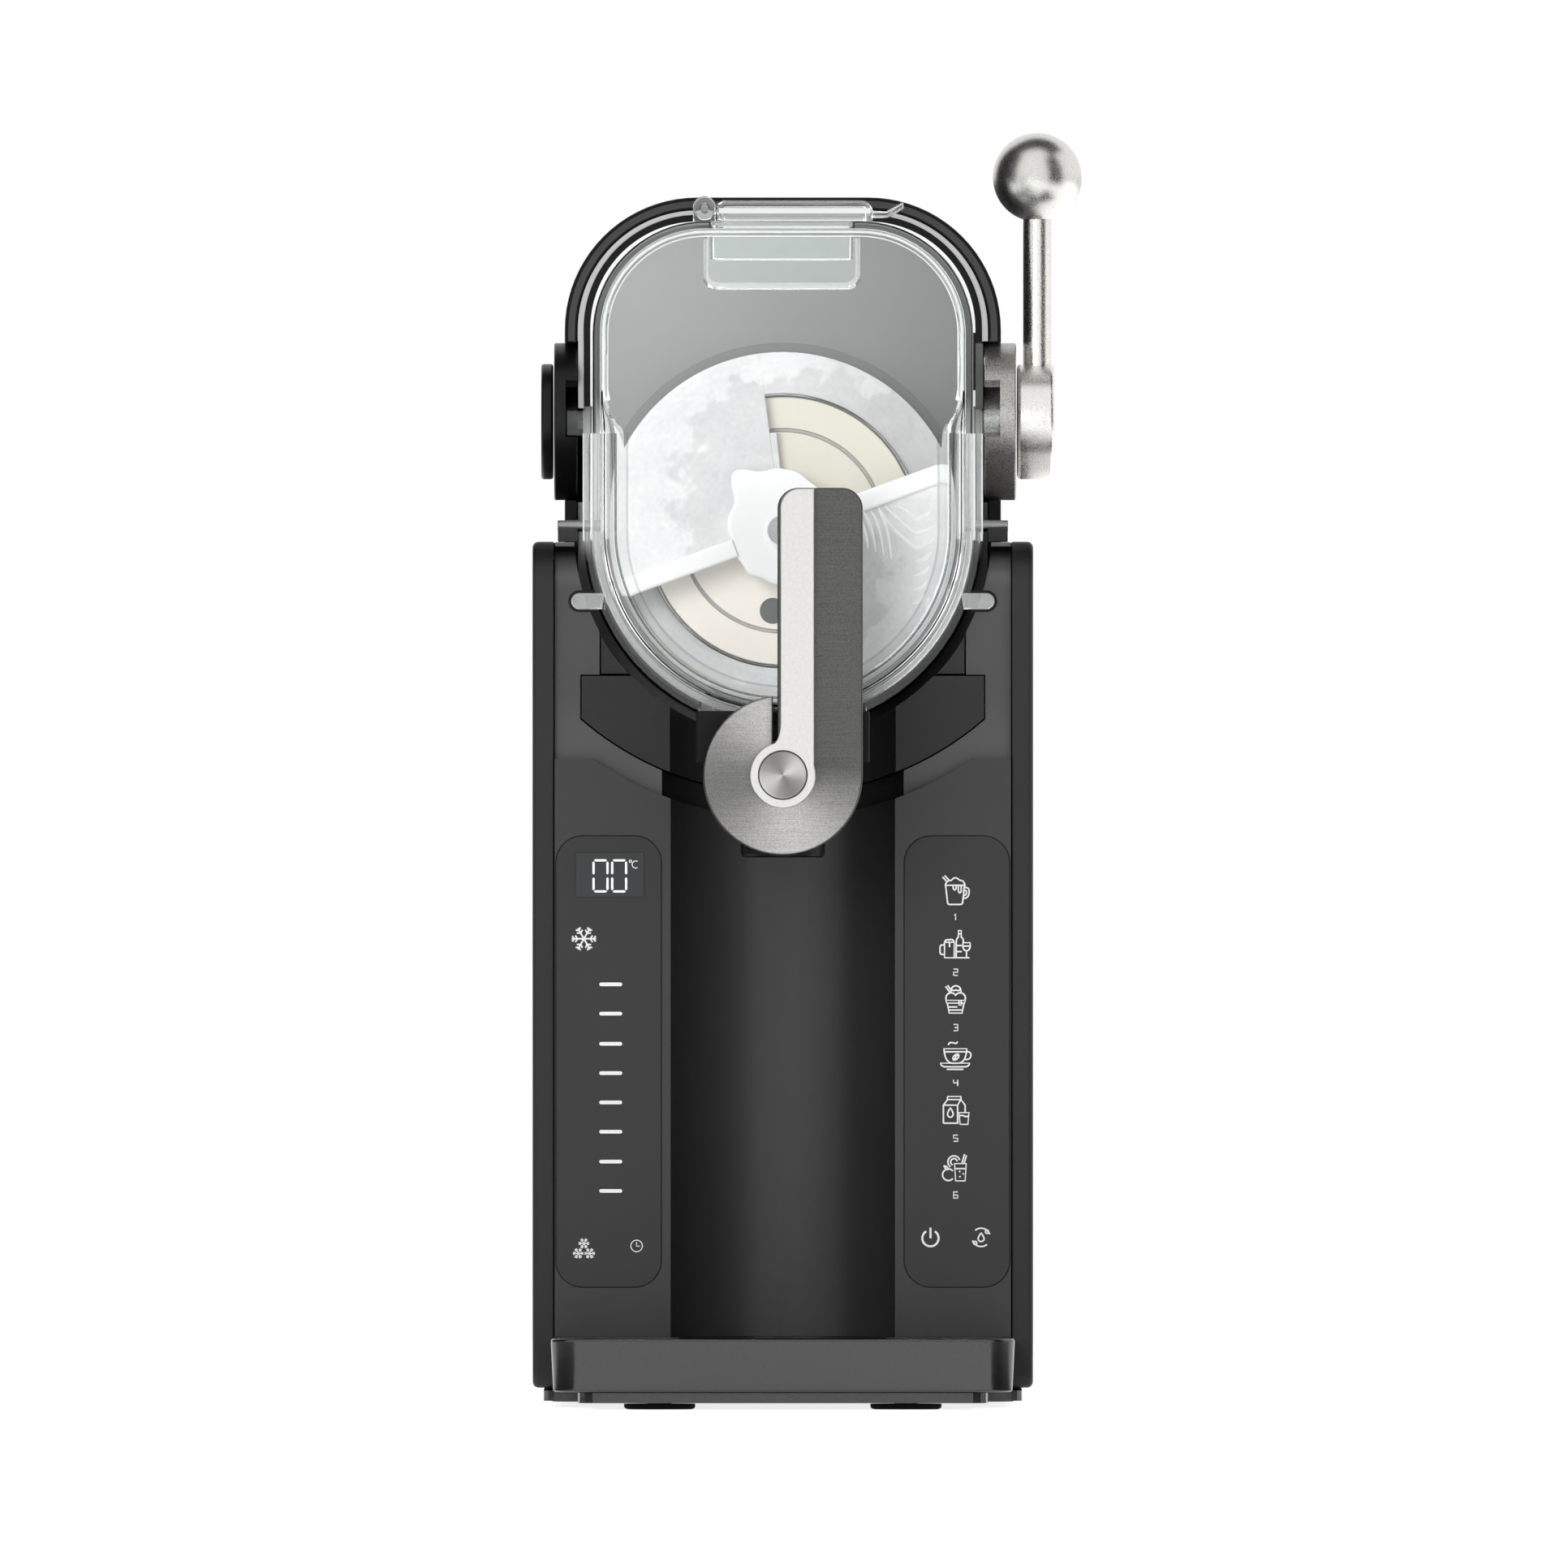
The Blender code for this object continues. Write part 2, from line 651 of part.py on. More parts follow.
def tower_shell():
    """Hood over the drive, open in front and below, with pockets for the lock discs."""
    rings = []
    for inset, y in ((0, TOWER_FRONT), (0, REAR - 9), (2.6, REAR - 2.6), (9, REAR)):
        outline = arched(TOWER_HALF - inset, TOWER_TOP - inset, TOWER_CORNER - inset, TOWER_BOTTOM)
        rings.append([Vector((x, y, z)) for x, z in outline])
    shell = piece("tower_shell", loft(rings), "body", "black_plastic")
    rings = []
    for inset, y in ((4, TOWER_FRONT - 5), (4, PLATE_BACK + GAP), (2.5, PLATE_BACK + 1.5), (2.5, REAR - 11), (10, REAR - 3)):
        outline = arched(TOWER_HALF - inset, TOWER_TOP - inset, TOWER_CORNER - inset, TOWER_BOTTOM - 10)
        rings.append([Vector((x, y, z)) for x, z in outline])
    cut(shell, loft(rings))
    ledges = []
    for side in (-1, 1):
        low, high = pair(side, 72, FASCIA_HALF)
        ledges.append(box(low, high, PLATE_FRONT + 0.2, REAR - 10, TOWER_BOTTOM + 0.1, UPPER_TOP))
    join(shell, merged(*ledges))
    pockets = []
    for side in (-1, 1):
        low, high = pair(side, LOCK_INNER - 0.5, 90)
        pockets.append(cylinder(LOCK_RADIUS + 0.8, low, high, "X", (LOCK_Y, LOCK_Z), ROUND))
    cut(shell, merged(*pockets))
    slots = [box(-40, 40, REAR - 20, REAR + 9, 318 + 12 * k, 323 + 12 * k) for k in range(4)]
    cut(shell, merged(*slots))


def tower_front_plate():
    """Wall behind the vessel that carries the drum, with clearance for the lock discs."""
    half = TOWER_HALF - 4.3
    outline = arched(half, TOWER_TOP - 4.3, TOWER_CORNER - 4.3, 205)
    shape = prism(outline, PLATE_FRONT, PLATE_BACK, "Y")
    plate = piece("tower_front_plate", shape, "body", "grey_plastic")
    reach = LOCK_RADIUS + 0.8
    notches = []
    for side in (-1, 1):
        low, high = pair(side, LOCK_INNER - 0.5, 80)
        notches.append(box(low, high, 40, 60, LOCK_Z - reach, LOCK_Z + reach))
    holes = [cylinder(8, 40, 60, "Y", (0, AXIS_Z)), cylinder(4, 40, 60, "Y", (-25, 280))]
    cut(plate, merged(*notches), merged(*holes))


def pocket_cups():
    """Cups behind the lock discs that close the tower and carry the cross shaft."""
    for side, name in ((-1, "left_pocket_cup"), (1, "right_pocket_cup")):
        front = PLATE_BACK + 2
        radius = LOCK_RADIUS + 3
        reach = math.degrees(math.acos((front - LOCK_Y) / radius))
        outline = arc(LOCK_Y, LOCK_Z, radius, -reach, reach, 24)
        low, high = pair(side, 64.4, 71)
        cup = piece(name, prism(outline, low, high, "X"), "body", "black_plastic")
        hollow = arc(LOCK_Y, LOCK_Z, LOCK_RADIUS + 1, -90, 90, 20)
        hollow += [(40, LOCK_Z + LOCK_RADIUS + 1), (40, LOCK_Z - LOCK_RADIUS - 1)]
        low, high = pair(side, 67.6, 75)
        cut(cup, prism(hollow, low, high, "X"))
        low, high = pair(side, 60, 75)
        cut(cup, cylinder(SHAFT_RADIUS + GAP, low, high, "X", (LOCK_Y, LOCK_Z)))


# Vessel, lid and tap

def vessel():
    """Clear cup-shaped vessel lying on its side, with its moulded-on features."""
    inner, outer = [], []
    for angle in (0, 40, 90):
        share = 1 - math.cos(math.radians(angle))
        depth = FACE_FILLET * (1 - math.sin(math.radians(angle)))
        inner.append(vessel_ring(-VESSEL_WALL, VESSEL_FRONT + VESSEL_WALL + depth, share))
        outer.append(vessel_ring(0, VESSEL_FRONT + depth, share))
    rim = [vessel_ring(-VESSEL_WALL, FLANGE_BACK), vessel_ring(FLANGE_OUT, FLANGE_BACK)]
    rim += [vessel_ring(FLANGE_OUT, FLANGE_FRONT), vessel_ring(0, FLANGE_FRONT)]
    cup = piece("vessel", loft(inner[::-1] + rim + outer), "vessel", "clear_plastic")

    x0, x1, y0, y1 = PORT
    skirt = box(x0, x1, y0, y1, PORT_BOTTOM, VESSEL_TOP - 1.4)
    knuckle = [(HINGE_X - 3.8, VESSEL_TOP - 1.6), (HINGE_X + 3.8, VESSEL_TOP - 1.6)]
    knuckle += arc(HINGE_X, HINGE_Z, 3.8, 0, 180, 10)
    knuckles = [prism(knuckle, BARREL_Y[0] - 5, BARREL_Y[0] - GAP, "Y")]
    knuckles.append(prism(knuckle, BARREL_Y[1] + GAP, BARREL_Y[1] + 5, "Y"))
    pins, shoes, ears, lugs = [], [], [], []
    for side in (-1, 1):
        low, high = pair(side, 62.6, 76.3)
        pins.append(cylinder(1.95, low, high, "X", (-30, 298.1)))
        low, high = pair(side, 69.5, 75.8)
        shoes.append(box(low, high, -32.4, -27.6, SIDE_TOP + GAP, 297.4))
        ear = arc(69, 272.4, 2.9, -90, 90, 6) + [(58.4, 275.3), (58.4, 269.5)]
        ears.append(prism([(side * x, z) for x, z in ear], -121, -114, "Y"))
        low, high = pair(side, 65.8, LUG_OUT)
        lugs.append(box(low, high, FLANGE_FRONT + 0.2, FLANGE_BACK - 0.2, LUG_LOW, LUG_HIGH))
    collar = cylinder(10.5, 227.6, 234, "Z", (0, TAP_Y), 18)
    join(cup, skirt, merged(*knuckles), merged(*pins), merged(*shoes), merged(*ears), merged(*lugs), collar)
    cut(cup, box(x0 + 2, x1 - 2, y0 + 2, y1 - 2, PORT_BOTTOM - 6, VESSEL_TOP + 6))
    cut(cup, cylinder(7.5, 220, 243, "Z", (0, TAP_Y), 18))
    cut(cup, cylinder(1.6, LID_Y[0] - 9, LID_Y[1] + 9, "Y", (HINGE_X, HINGE_Z), 12))


def vessel_seal():
    """Soft ring pressed between the vessel's open end and the tower's front plate."""
    front, back = FLANGE_BACK + GAP, PLATE_FRONT - GAP
    rings = [vessel_ring(-2.5, front), vessel_ring(0.9, front), vessel_ring(0.9, back), vessel_ring(-2.5, back)]
    piece("vessel_seal", loft(rings, closed=True), "vessel", "grey_rubber")


def lid_hinge_pin():
    shape = cylinder(1.3, BARREL_Y[0] - 4.8, BARREL_Y[1] + 4.8, "Y", (HINGE_X, HINGE_Z), 12)
    piece("lid_hinge_pin", shape, "vessel", "plain_steel")


def fill_lid():
    """Shallow clear cover with a hinge barrel on the left and a pull tab on the right."""
    left = HINGE_X + 4.3
    outline = [(left, 401.2), (30.4, 401.2)] + arc(26.4, 405, 4, 0, 90, 5)
    outline += [(left + 2, 409), (left, 407.4)]
    lid = piece("fill_lid", prism(outline, LID_Y[0], LID_Y[1], "Y"), "lid", "clear_plastic")
    cut(lid, box(left + 2, 28.2, LID_Y[0] + 2, LID_Y[1] - 2, 395, 407))
    join(lid, cylinder(HINGE_RADIUS, BARREL_Y[0], BARREL_Y[1], "Y", (HINGE_X, HINGE_Z), 18))
    join(lid, box(HINGE_X + 1, left + 1, BARREL_Y[0] + 1, BARREL_Y[1] - 1, 403.4, 406.8))
    tab = [(29, 402.2), (35.6, 402.2), (40.8, 405.2), (40.8, 407.4), (35, 404.2), (29, 404.2)]
    join(lid, prism(tab, -86, -62, "Y"))
    cut(lid, cylinder(1.6, LID_Y[0] - 9, LID_Y[1] + 9, "Y", (HINGE_X, HINGE_Z), 12))


def spigot_body():
    """Tap housing: barrel for the plug, shoulders under the vessel and the nozzle."""
    barrel = cylinder(17, -156.5, -109.5, "Y", (0, TAP_Z), 24)
    body = piece("spigot_body", barrel, "vessel", "black_plastic")
    join(body, box(-29.3, 29.3, -148, -121, 217.8, 235.4))
    join(body, box(-14.5, 14.5, -140, -109.9, 210, 231.2))
    saddle = cylinder(VESSEL_HALF + 0.7, VESSEL_FRONT - 0.6, -90, "Y", (0, AXIS_Z), 48)
    cut(body, saddle)
    nozzle = [(NOZZLE_RADIUS - 1.2, NOZZLE_BOTTOM), (NOZZLE_RADIUS, NOZZLE_BOTTOM + 1.5), (NOZZLE_RADIUS, 212)]
    join(body, lathe(nozzle, "Z", (0, TAP_Y), 20))
    cut(body, cylinder(PLUG_RADIUS + 0.4, -165, -111.5, "Y", (0, TAP_Z), 24))
    bore = [(7.5, 180), (7.5, 227.2), (10.9, 227.2), (10.9, 250)]
    cut(body, lathe(bore, "Z", (0, TAP_Y), 18))


def valve_plug():
    """Tapered-off plug with a cross hole, shut at rest and open a quarter turn on."""
    profile = [(0, -112), (PLUG_RADIUS, -112), (PLUG_RADIUS, -147), (10.6, -147), (10.6, -150)]
    profile += [(PLUG_RADIUS, -150), (PLUG_RADIUS, -156), (SHAFT_RADIUS, -156), (SHAFT_RADIUS, -165), (0, -165)]
    plug = piece("valve_plug", lathe(profile, "Y", (0, TAP_Z), 24), "handle", "white_plastic")
    cut(plug, cylinder(7, -20, 20, "X", (TAP_Y, TAP_Z), 16))
    ring = tube(10.9, PLUG_RADIUS + 0.1, -149.7, -147.3, "Y", (0, TAP_Z), 24)
    piece("plug_seal", ring, "handle", "black_rubber")


def tap_handle():
    """Flat disc and upright arm in one plate, slit beside the arm."""
    slit = HANDLE_LEFT - 1.6
    start = 90 + math.degrees(math.asin(-slit / DISC_RADIUS))
    outline = arc(0, TAP_Z, DISC_RADIUS, start, 360, 30)
    outline += arc(DISC_RADIUS - 7, HANDLE_TOP - 7, 7, 0, 90, 5)
    outline += arc(HANDLE_LEFT + 7, HANDLE_TOP - 7, 7, 90, 180, 5)
    outline += [(HANDLE_LEFT, 223), (slit, 223)]
    handle = piece("tap_handle", prism(outline, HANDLE_FRONT, HANDLE_BACK, "Y"), "handle", "brushed_steel")
    cut(handle, cylinder(SHAFT_RADIUS + GAP, -180, -150, "Y", (0, TAP_Z)))


def handle_strip():
    """Raised pale strip on the arm, running into a ring round the pivot."""
    left = 90 + math.degrees(math.asin(-HANDLE_LEFT / RING_RADIUS))
    right = 360 + math.degrees(math.acos(STRIP_RIGHT / RING_RADIUS))
    outline = arc(0, TAP_Z, RING_RADIUS, left, right, 22)
    outline += [(STRIP_RIGHT, HANDLE_TOP - 0.2)]
    outline += arc(HANDLE_LEFT + 6.8, HANDLE_TOP - 7, 6.8, 90, 180, 5)
    shape = prism(outline, STRIP_FRONT, HANDLE_FRONT - GAP, "Y")
    strip = piece("handle_strip", shape, "handle", "pale_metal")
    cut(strip, cylinder(CAP_RADIUS + GAP, -180, -160, "Y", (0, TAP_Z), 24))
    profile = [(0, STRIP_FRONT - 1), (CAP_RADIUS - 1, STRIP_FRONT - 1), (CAP_RADIUS, STRIP_FRONT)]
    profile += [(CAP_RADIUS, HANDLE_FRONT - GAP), (0, HANDLE_FRONT - GAP)]
    piece("handle_cap", lathe(profile, "Y", (0, TAP_Z), 24), "handle", "brushed_steel")


# Cooling drum, auger and drive

def evaporator():
    drum = [(DRUM_RADIUS, DRUM_FRONT), (DRUM_RADIUS, 44), (52, 44), (52, PLATE_FRONT - GAP)]
    drum += [(41, PLATE_FRONT - GAP), (41, DRUM_FRONT + 4), (8.4, DRUM_FRONT + 4), (8.4, DRUM_FRONT)]
    shape = lathe(drum, "Y", (0, AXIS_Z), closed=True)
    piece("evaporator_drum", shape, "body", "plain_steel")
    cap = [(8.4, DRUM_FRONT - GAP), (45.4, DRUM_FRONT - GAP), (45.4, CAP_FRONT + 1), (44.4, CAP_FRONT)]
    cap += [(34.9, CAP_FRONT), (34.1, CAP_FRONT + 0.8), (33.3, CAP_FRONT), (8.4, CAP_FRONT)]
    piece("evaporator_cap", lathe(cap, "Y", (0, AXIS_Z), closed=True), "body", "cream_plastic")
    bush = tube(SHAFT_RADIUS + GAP, 8.1, CAP_FRONT, DRUM_FRONT + 6, "Y", (0, AXIS_Z), 20)
    piece("shaft_bush", bush, "body", "white_plastic")


def auger_blade(start):
    """One helical blade: a broad scoop in front, then a strip wound round the drum."""
    sweep = 360 * (AUGER_BACK - AUGER_FRONT) / AUGER_PITCH
    steps = int(sweep / 20)
    rings = []
    for k in range(steps + 1):
        turn = sweep * k / steps
        angle = math.radians(start - turn)
        y = AUGER_FRONT + AUGER_PITCH * turn / 360
        inner = 10 if turn < SCOOP_SWEEP else AUGER_BORE
        corners = ((inner, y - 2), (AUGER_RADIUS, y - 2), (AUGER_RADIUS, y + 2), (inner, y + 2))
        ring = [Vector((r * math.cos(angle), at, AXIS_Z + r * math.sin(angle))) for r, at in corners]
        rings.append(ring)
    return loft(rings)


def auger():
    """White two-start auger with a hub, two spokes and a rear ring."""
    hub = [(SHAFT_RADIUS + GAP, AUGER_FRONT - 2.4), (AUGER_HUB - 1.5, AUGER_FRONT - 2.4)]
    hub += [(AUGER_HUB, AUGER_FRONT - 0.9), (AUGER_HUB, CAP_FRONT - 0.4), (SHAFT_RADIUS + GAP, CAP_FRONT - 0.4)]
    whole = piece("auger", lathe(hub, "Y", (0, AXIS_Z), 22, closed=True), "auger", "white_plastic")
    join(whole, auger_blade(20), auger_blade(200))
    spokes = []
    for turn in (20, 200):
        spoke = box(12, AUGER_RADIUS - 0.6, AUGER_FRONT - 3.4, AUGER_FRONT + 1, -3.2, 3.2)
        matrix = Matrix.Translation((0, 0, AXIS_Z)) @ Matrix.Rotation(math.radians(-turn), 4, "Y")
        bmesh.ops.transform(spoke, matrix=matrix, verts=spoke.verts)
        spokes.append(spoke)
    join(whole, merged(*spokes))
    join(whole, tube(49, AUGER_RADIUS - 0.1, 35, 40.5, "Y", (0, AXIS_Z)))
    cut(whole, cylinder(SHAFT_RADIUS + GAP, -130, -90, "Y", (0, AXIS_Z), 20))


def drive():
    """Shaft, nut and gears, with the motor above the shaft."""
    shaft = cylinder(SHAFT_RADIUS, AUGER_FRONT - 2.4, 127, "Y", (0, AXIS_Z), 20)
    piece("drive_shaft", shaft, "auger", "plain_steel")
    nut = [(0, AUGER_FRONT - 6), (3.4, AUGER_FRONT - 6), (4.2, AUGER_FRONT - 5.2), (4.2, AUGER_FRONT - 2.7), (0, AUGER_FRONT - 2.7)]
    piece("auger_nut", lathe(nut, "Y", (0, AXIS_Z), 16), "auger", "black_plastic")
    outline = [(x, AXIS_Z + z) for x, z in gear_outline(GEAR_TEETH, 90)]
    gear = piece("drive_gear", prism(outline, *GEAR_Y, "Y"), "auger", "white_plastic")
    cut(gear, cylinder(SHAFT_RADIUS + GAP, 90, 130, "Y", (0, AXIS_Z)))
    outline = [(x, MOTOR_Z + z) for x, z in gear_outline(PINION_TEETH, 270 + 180 / PINION_TEETH)]
    pinion = piece("motor_pinion", prism(outline, GEAR_Y[0] - 0.5, GEAR_Y[1] + 0.5, "Y"), "rotor", "plain_steel")
    join(pinion, cylinder(3, GEAR_Y[1] - 2, 127.5, "Y", (0, MOTOR_Z)))


def bearing_plate():
    """Plate on four stand-offs that holds the motor and the back end of the shaft."""
    outline = rounded_box(-44, 44, 262, 374, 6, 3)
    plate = piece("bearing_plate", prism(outline, 124, 128, "Y"), "body", "plain_steel")
    posts = [cylinder(4, PLATE_BACK + GAP, 125, "Y", (x, z), 8) for x in (-38, 38) for z in (268, 368)]
    join(plate, merged(*posts))
    holes = [cylinder(SHAFT_RADIUS + GAP, 110, 140, "Y", (0, AXIS_Z)), cylinder(3.4, 110, 140, "Y", (0, MOTOR_Z))]
    cut(plate, merged(*holes))


def motor_body():
    profile = [(0, 128.3), (27, 128.3), (27, 160), (22, 165), (0, 165)]
    piece("motor_body", lathe(profile, "Y", (0, MOTOR_Z), 20), "body", "black_paint")


# Cooling unit and electrics

def compressor():
    profile = [(0, 8.6), (38, 8.6), (45, 16), (45, 100), (38, 113), (20, 119), (0, 120)]
    unit = piece("compressor", lathe(profile, "Z", (0, COMPRESSOR_Y), 20), "body", "black_paint")
    join(unit, prism(rounded_box(-54, 54, 84, 172, 8, 3), BASE_HIGH + GAP, 9.4, "Z"))


def condenser():
    """Finned block: parallel fins joined along one edge."""
    outline = [(54, 48), (-54, 48)]
    for k in range(18):
        left = -54 + 6.25 * k
        outline += [(left, 24), (left + 1.75, 24)]
        if k < 17:
            outline += [(left + 1.75, 45), (left + 6.25, 45)]
    piece("condenser", prism(outline, 7, 124, "Z"), "body", "aluminium")


def fan():
    """Shroud, motor on a cross bar, and a five-bladed fan drawing air through the fins."""
    shroud = prism(rounded_box(-56, 56, 7, 124, 4, 2), 50, 54, "Y")
    frame = piece("fan_shroud", shroud, "body", "black_plastic")
    cut(frame, cylinder(50, 40, 60, "Y", (0, FAN_Z), ROUND))
    posts = [cylinder(3, 52, 70, "Y", (x, FAN_Z)) for x in (-53, 53)]
    join(frame, merged(*posts))
    motor = cylinder(13, 70.6, 79, "Y", (0, FAN_Z), 24)
    motor_piece = piece("fan_motor", motor, "body", "black_plastic")
    join(motor_piece, box(-56, 56, 70.4, 73.4, FAN_Z - 4, FAN_Z + 4))
    cut(motor_piece, cylinder(2.5, 60, 75, "Y", (0, FAN_Z), 12))
    hub = [(0, 56), (12, 56), (14, 58), (14, 66), (2, 66), (2, 74), (0, 74)]
    blade_piece = piece("fan_blade", lathe(hub, "Y", (0, FAN_Z), 14), "fan", "grey_plastic")
    blades = []
    for k in range(5):
        rings = []
        for reach, lean in ((12, 40), (46, 24)):
            spread = math.radians(lean)
            ring = []
            for across, thick in ((-11, -0.7), (11, -0.7), (11, 0.7), (-11, 0.7)):
                side = across * math.cos(spread) - thick * math.sin(spread)
                depth = (across * math.sin(spread) + thick * math.cos(spread)) * 0.62
                ring.append(Vector((reach, FAN_Y + depth, side)))
            rings.append(ring)
        blade = loft(rings)
        matrix = Matrix.Translation((0, 0, FAN_Z)) @ Matrix.Rotation(math.radians(72 * k), 4, "Y")
        bmesh.ops.transform(blade, matrix=matrix, verts=blade.verts)
        blades.append(blade)
    join(blade_piece, *blades)


def pipe(name, places, radius):
    """A bent copper tube through the given places."""
    curve = bpy.data.curves.new(name, "CURVE")
    curve.dimensions = "3D"
    curve.bevel_depth = radius * MM
    curve.bevel_resolution = 1
    curve.resolution_u = 4
    curve.use_fill_caps = True
    line = curve.splines.new("BEZIER")
    line.bezier_points.add(len(places) - 1)
    for knot, place in zip(line.bezier_points, places):
        knot.co = Vector(place) * MM
        knot.handle_left_type = "AUTO"
        knot.handle_right_type = "AUTO"
    made = bpy.data.objects.new(name, curve)
    made.parent = bpy.data.objects["body_axis"]
    curve.materials.append(finish("copper"))
    bpy.context.scene.collection.objects.link(made)


def pipes():
    pipe("suction_pipe", [(-28, 118, 121), (-24, 104, 180), (-20, 92, 240), (-22, 78, 274), (-25, 53, 280)], 3)
    pipe("discharge_pipe", [(26, 120, 122), (30, 100, 150), (36, 60, 152), (38, 38, 140), (38, 34, 125)], 3)


def power_board():
    piece("power_board", box(-60, 60, -34, -32.4, 40, 160), "body", "circuit_board")


# Vessel lock

def lock_groove(inner, outer, start, end, side):
    """Part of a ring-shaped groove that opens on the disc's inner face."""
    steps = 16
    outline = []
    for k in range(steps + 1):
        angle = math.radians(start + (end - start) * k / steps)
        outline.append((LOCK_Y - inner * math.cos(angle), LOCK_Z + inner * math.sin(angle)))
    for k in range(steps + 1):
        angle = math.radians(end + (start - end) * k / steps)
        outline.append((LOCK_Y - outer * math.cos(angle), LOCK_Z + outer * math.sin(angle)))
    low, high = pair(side, LOCK_INNER - 3, LUG_OUT + 0.5)
    return prism(outline, low, high, "X")


def lock_discs():
    """Discs whose groove takes the vessel's lug and hooks in front of it when turned."""
    for side, name, outer in ((-1, "left_lock_disc", LOCK_OUTER_LEFT), (1, "right_lock_disc", LOCK_OUTER_RIGHT)):
        low, high = pair(side, LOCK_INNER, outer)
        look = "black_plastic" if side < 0 else "polished_steel"
        shape = cylinder(LOCK_RADIUS, low, high, "X", (LOCK_Y, LOCK_Z), ROUND)
        disc = piece(name, shape, "lever", look)
        cut(disc, lock_groove(11.7, 17.9, -24, 90, side))
        low, high = pair(side, LOCK_INNER - 3, LUG_OUT + 0.5)
        cut(disc, box(low, high, LOCK_Y - 40, LOCK_Y - 11.7, LUG_LOW - 0.6, 347.9))
        low, high = pair(side, 60, 76)
        cut(disc, cylinder(SHAFT_RADIUS + GAP, low, high, "X", (LOCK_Y, LOCK_Z)))
    shape = cylinder(SHAFT_RADIUS, -75.7, 75.7, "X", (LOCK_Y, LOCK_Z))
    piece("cross_shaft", shape, "lever", "plain_steel")


def lever():
    """Hub, stem and ball on the right, plain cap on the left."""
    cap = [(0, -LOCK_OUTER_LEFT - GAP), (HUB_RADIUS, -LOCK_OUTER_LEFT - GAP), (HUB_RADIUS, 1 - HUB_LEFT)]
    cap += [(HUB_RADIUS - 1, -HUB_LEFT), (0, -HUB_LEFT)]
    piece("left_hub_cap", lathe(cap, "X", (LOCK_Y, LOCK_Z), 24), "lever", "black_plastic")
    hub = [(0, LOCK_OUTER_RIGHT + GAP), (HUB_RADIUS, LOCK_OUTER_RIGHT + GAP), (HUB_RADIUS, HUB_RIGHT - 2)]
    hub += [(HUB_RADIUS - 2, HUB_RIGHT), (0, HUB_RIGHT)]
    hub_piece = piece("lever_hub", lathe(hub, "X", (LOCK_Y, LOCK_Z), 24), "lever", "polished_steel")
    bore = cylinder(STEM_RADIUS + GAP, LOCK_Z + 10, LOCK_Z + 40, "Z", (STEM_X, LOCK_Y))
    cut(hub_piece, bore)
    stem = cylinder(STEM_RADIUS, LOCK_Z + 10.4, BALL_Z - 4, "Z", (STEM_X, LOCK_Y), 20)
    piece("lever_stem", stem, "lever", "polished_steel")
    profile = []
    for k in range(11):
        angle = math.radians(-90 + 180 * k / 10)
        profile.append((BALL_RADIUS * math.cos(angle), BALL_Z + BALL_RADIUS * math.sin(angle)))
    ball = piece("lever_ball", lathe(profile, "Z", (STEM_X, LOCK_Y), 18), "lever", "polished_steel")
    cut(ball, cylinder(STEM_RADIUS + GAP, BALL_Z - 30, BALL_Z - 3.6, "Z", (STEM_X, LOCK_Y)))


def main():
    clear_scene()
    make_axes()
    for build in (base_plate, feet, side_panels, rear_panel, power_inlet):
        build()
    for build in (front_fascia, control_panels, touch_boards, upper_front_panel, condensation_catch):
        build()
    for build in (vessel_trough, drip_tray, drip_grid, tower_shell, tower_front_plate, pocket_cups):
        build()
    for build in (vessel, vessel_seal, lid_hinge_pin, fill_lid, spigot_body, valve_plug):
        build()
    for build in (tap_handle, handle_strip, evaporator, auger, drive, bearing_plate, motor_body):
        build()
    for build in (compressor, condenser, fan, pipes, power_board, lock_discs, lever):
        build()


main()
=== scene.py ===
"""Looks of the slush machine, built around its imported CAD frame.

Shapes are written in millimetres from the machine's middle plane and the floor, with the
front facing -Y, and piece() turns them into metres in the frame of the CAD.
"""

import json
import math

import bmesh
import bpy
from mathutils import Matrix, Vector, noise


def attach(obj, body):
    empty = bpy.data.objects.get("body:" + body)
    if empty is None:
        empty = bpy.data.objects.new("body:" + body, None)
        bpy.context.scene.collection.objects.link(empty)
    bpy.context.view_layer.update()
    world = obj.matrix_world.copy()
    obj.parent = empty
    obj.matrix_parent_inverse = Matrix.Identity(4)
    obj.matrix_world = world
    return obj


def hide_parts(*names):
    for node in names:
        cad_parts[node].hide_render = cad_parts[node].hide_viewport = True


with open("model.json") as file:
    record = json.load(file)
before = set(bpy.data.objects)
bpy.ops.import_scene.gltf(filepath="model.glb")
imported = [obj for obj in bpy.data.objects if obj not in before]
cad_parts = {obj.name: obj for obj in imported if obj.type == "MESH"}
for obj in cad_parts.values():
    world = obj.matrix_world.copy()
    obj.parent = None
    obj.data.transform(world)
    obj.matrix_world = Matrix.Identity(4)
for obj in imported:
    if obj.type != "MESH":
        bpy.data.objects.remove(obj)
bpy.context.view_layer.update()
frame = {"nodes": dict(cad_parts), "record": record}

MM = 0.001
MIDDLE_X = -8.5
GAP = 0.3
FINE = 96
ON_AXIS = 1e-6
SIDES = (-1, 1)
HANDS = ((-1, "left"), (1, "right"))

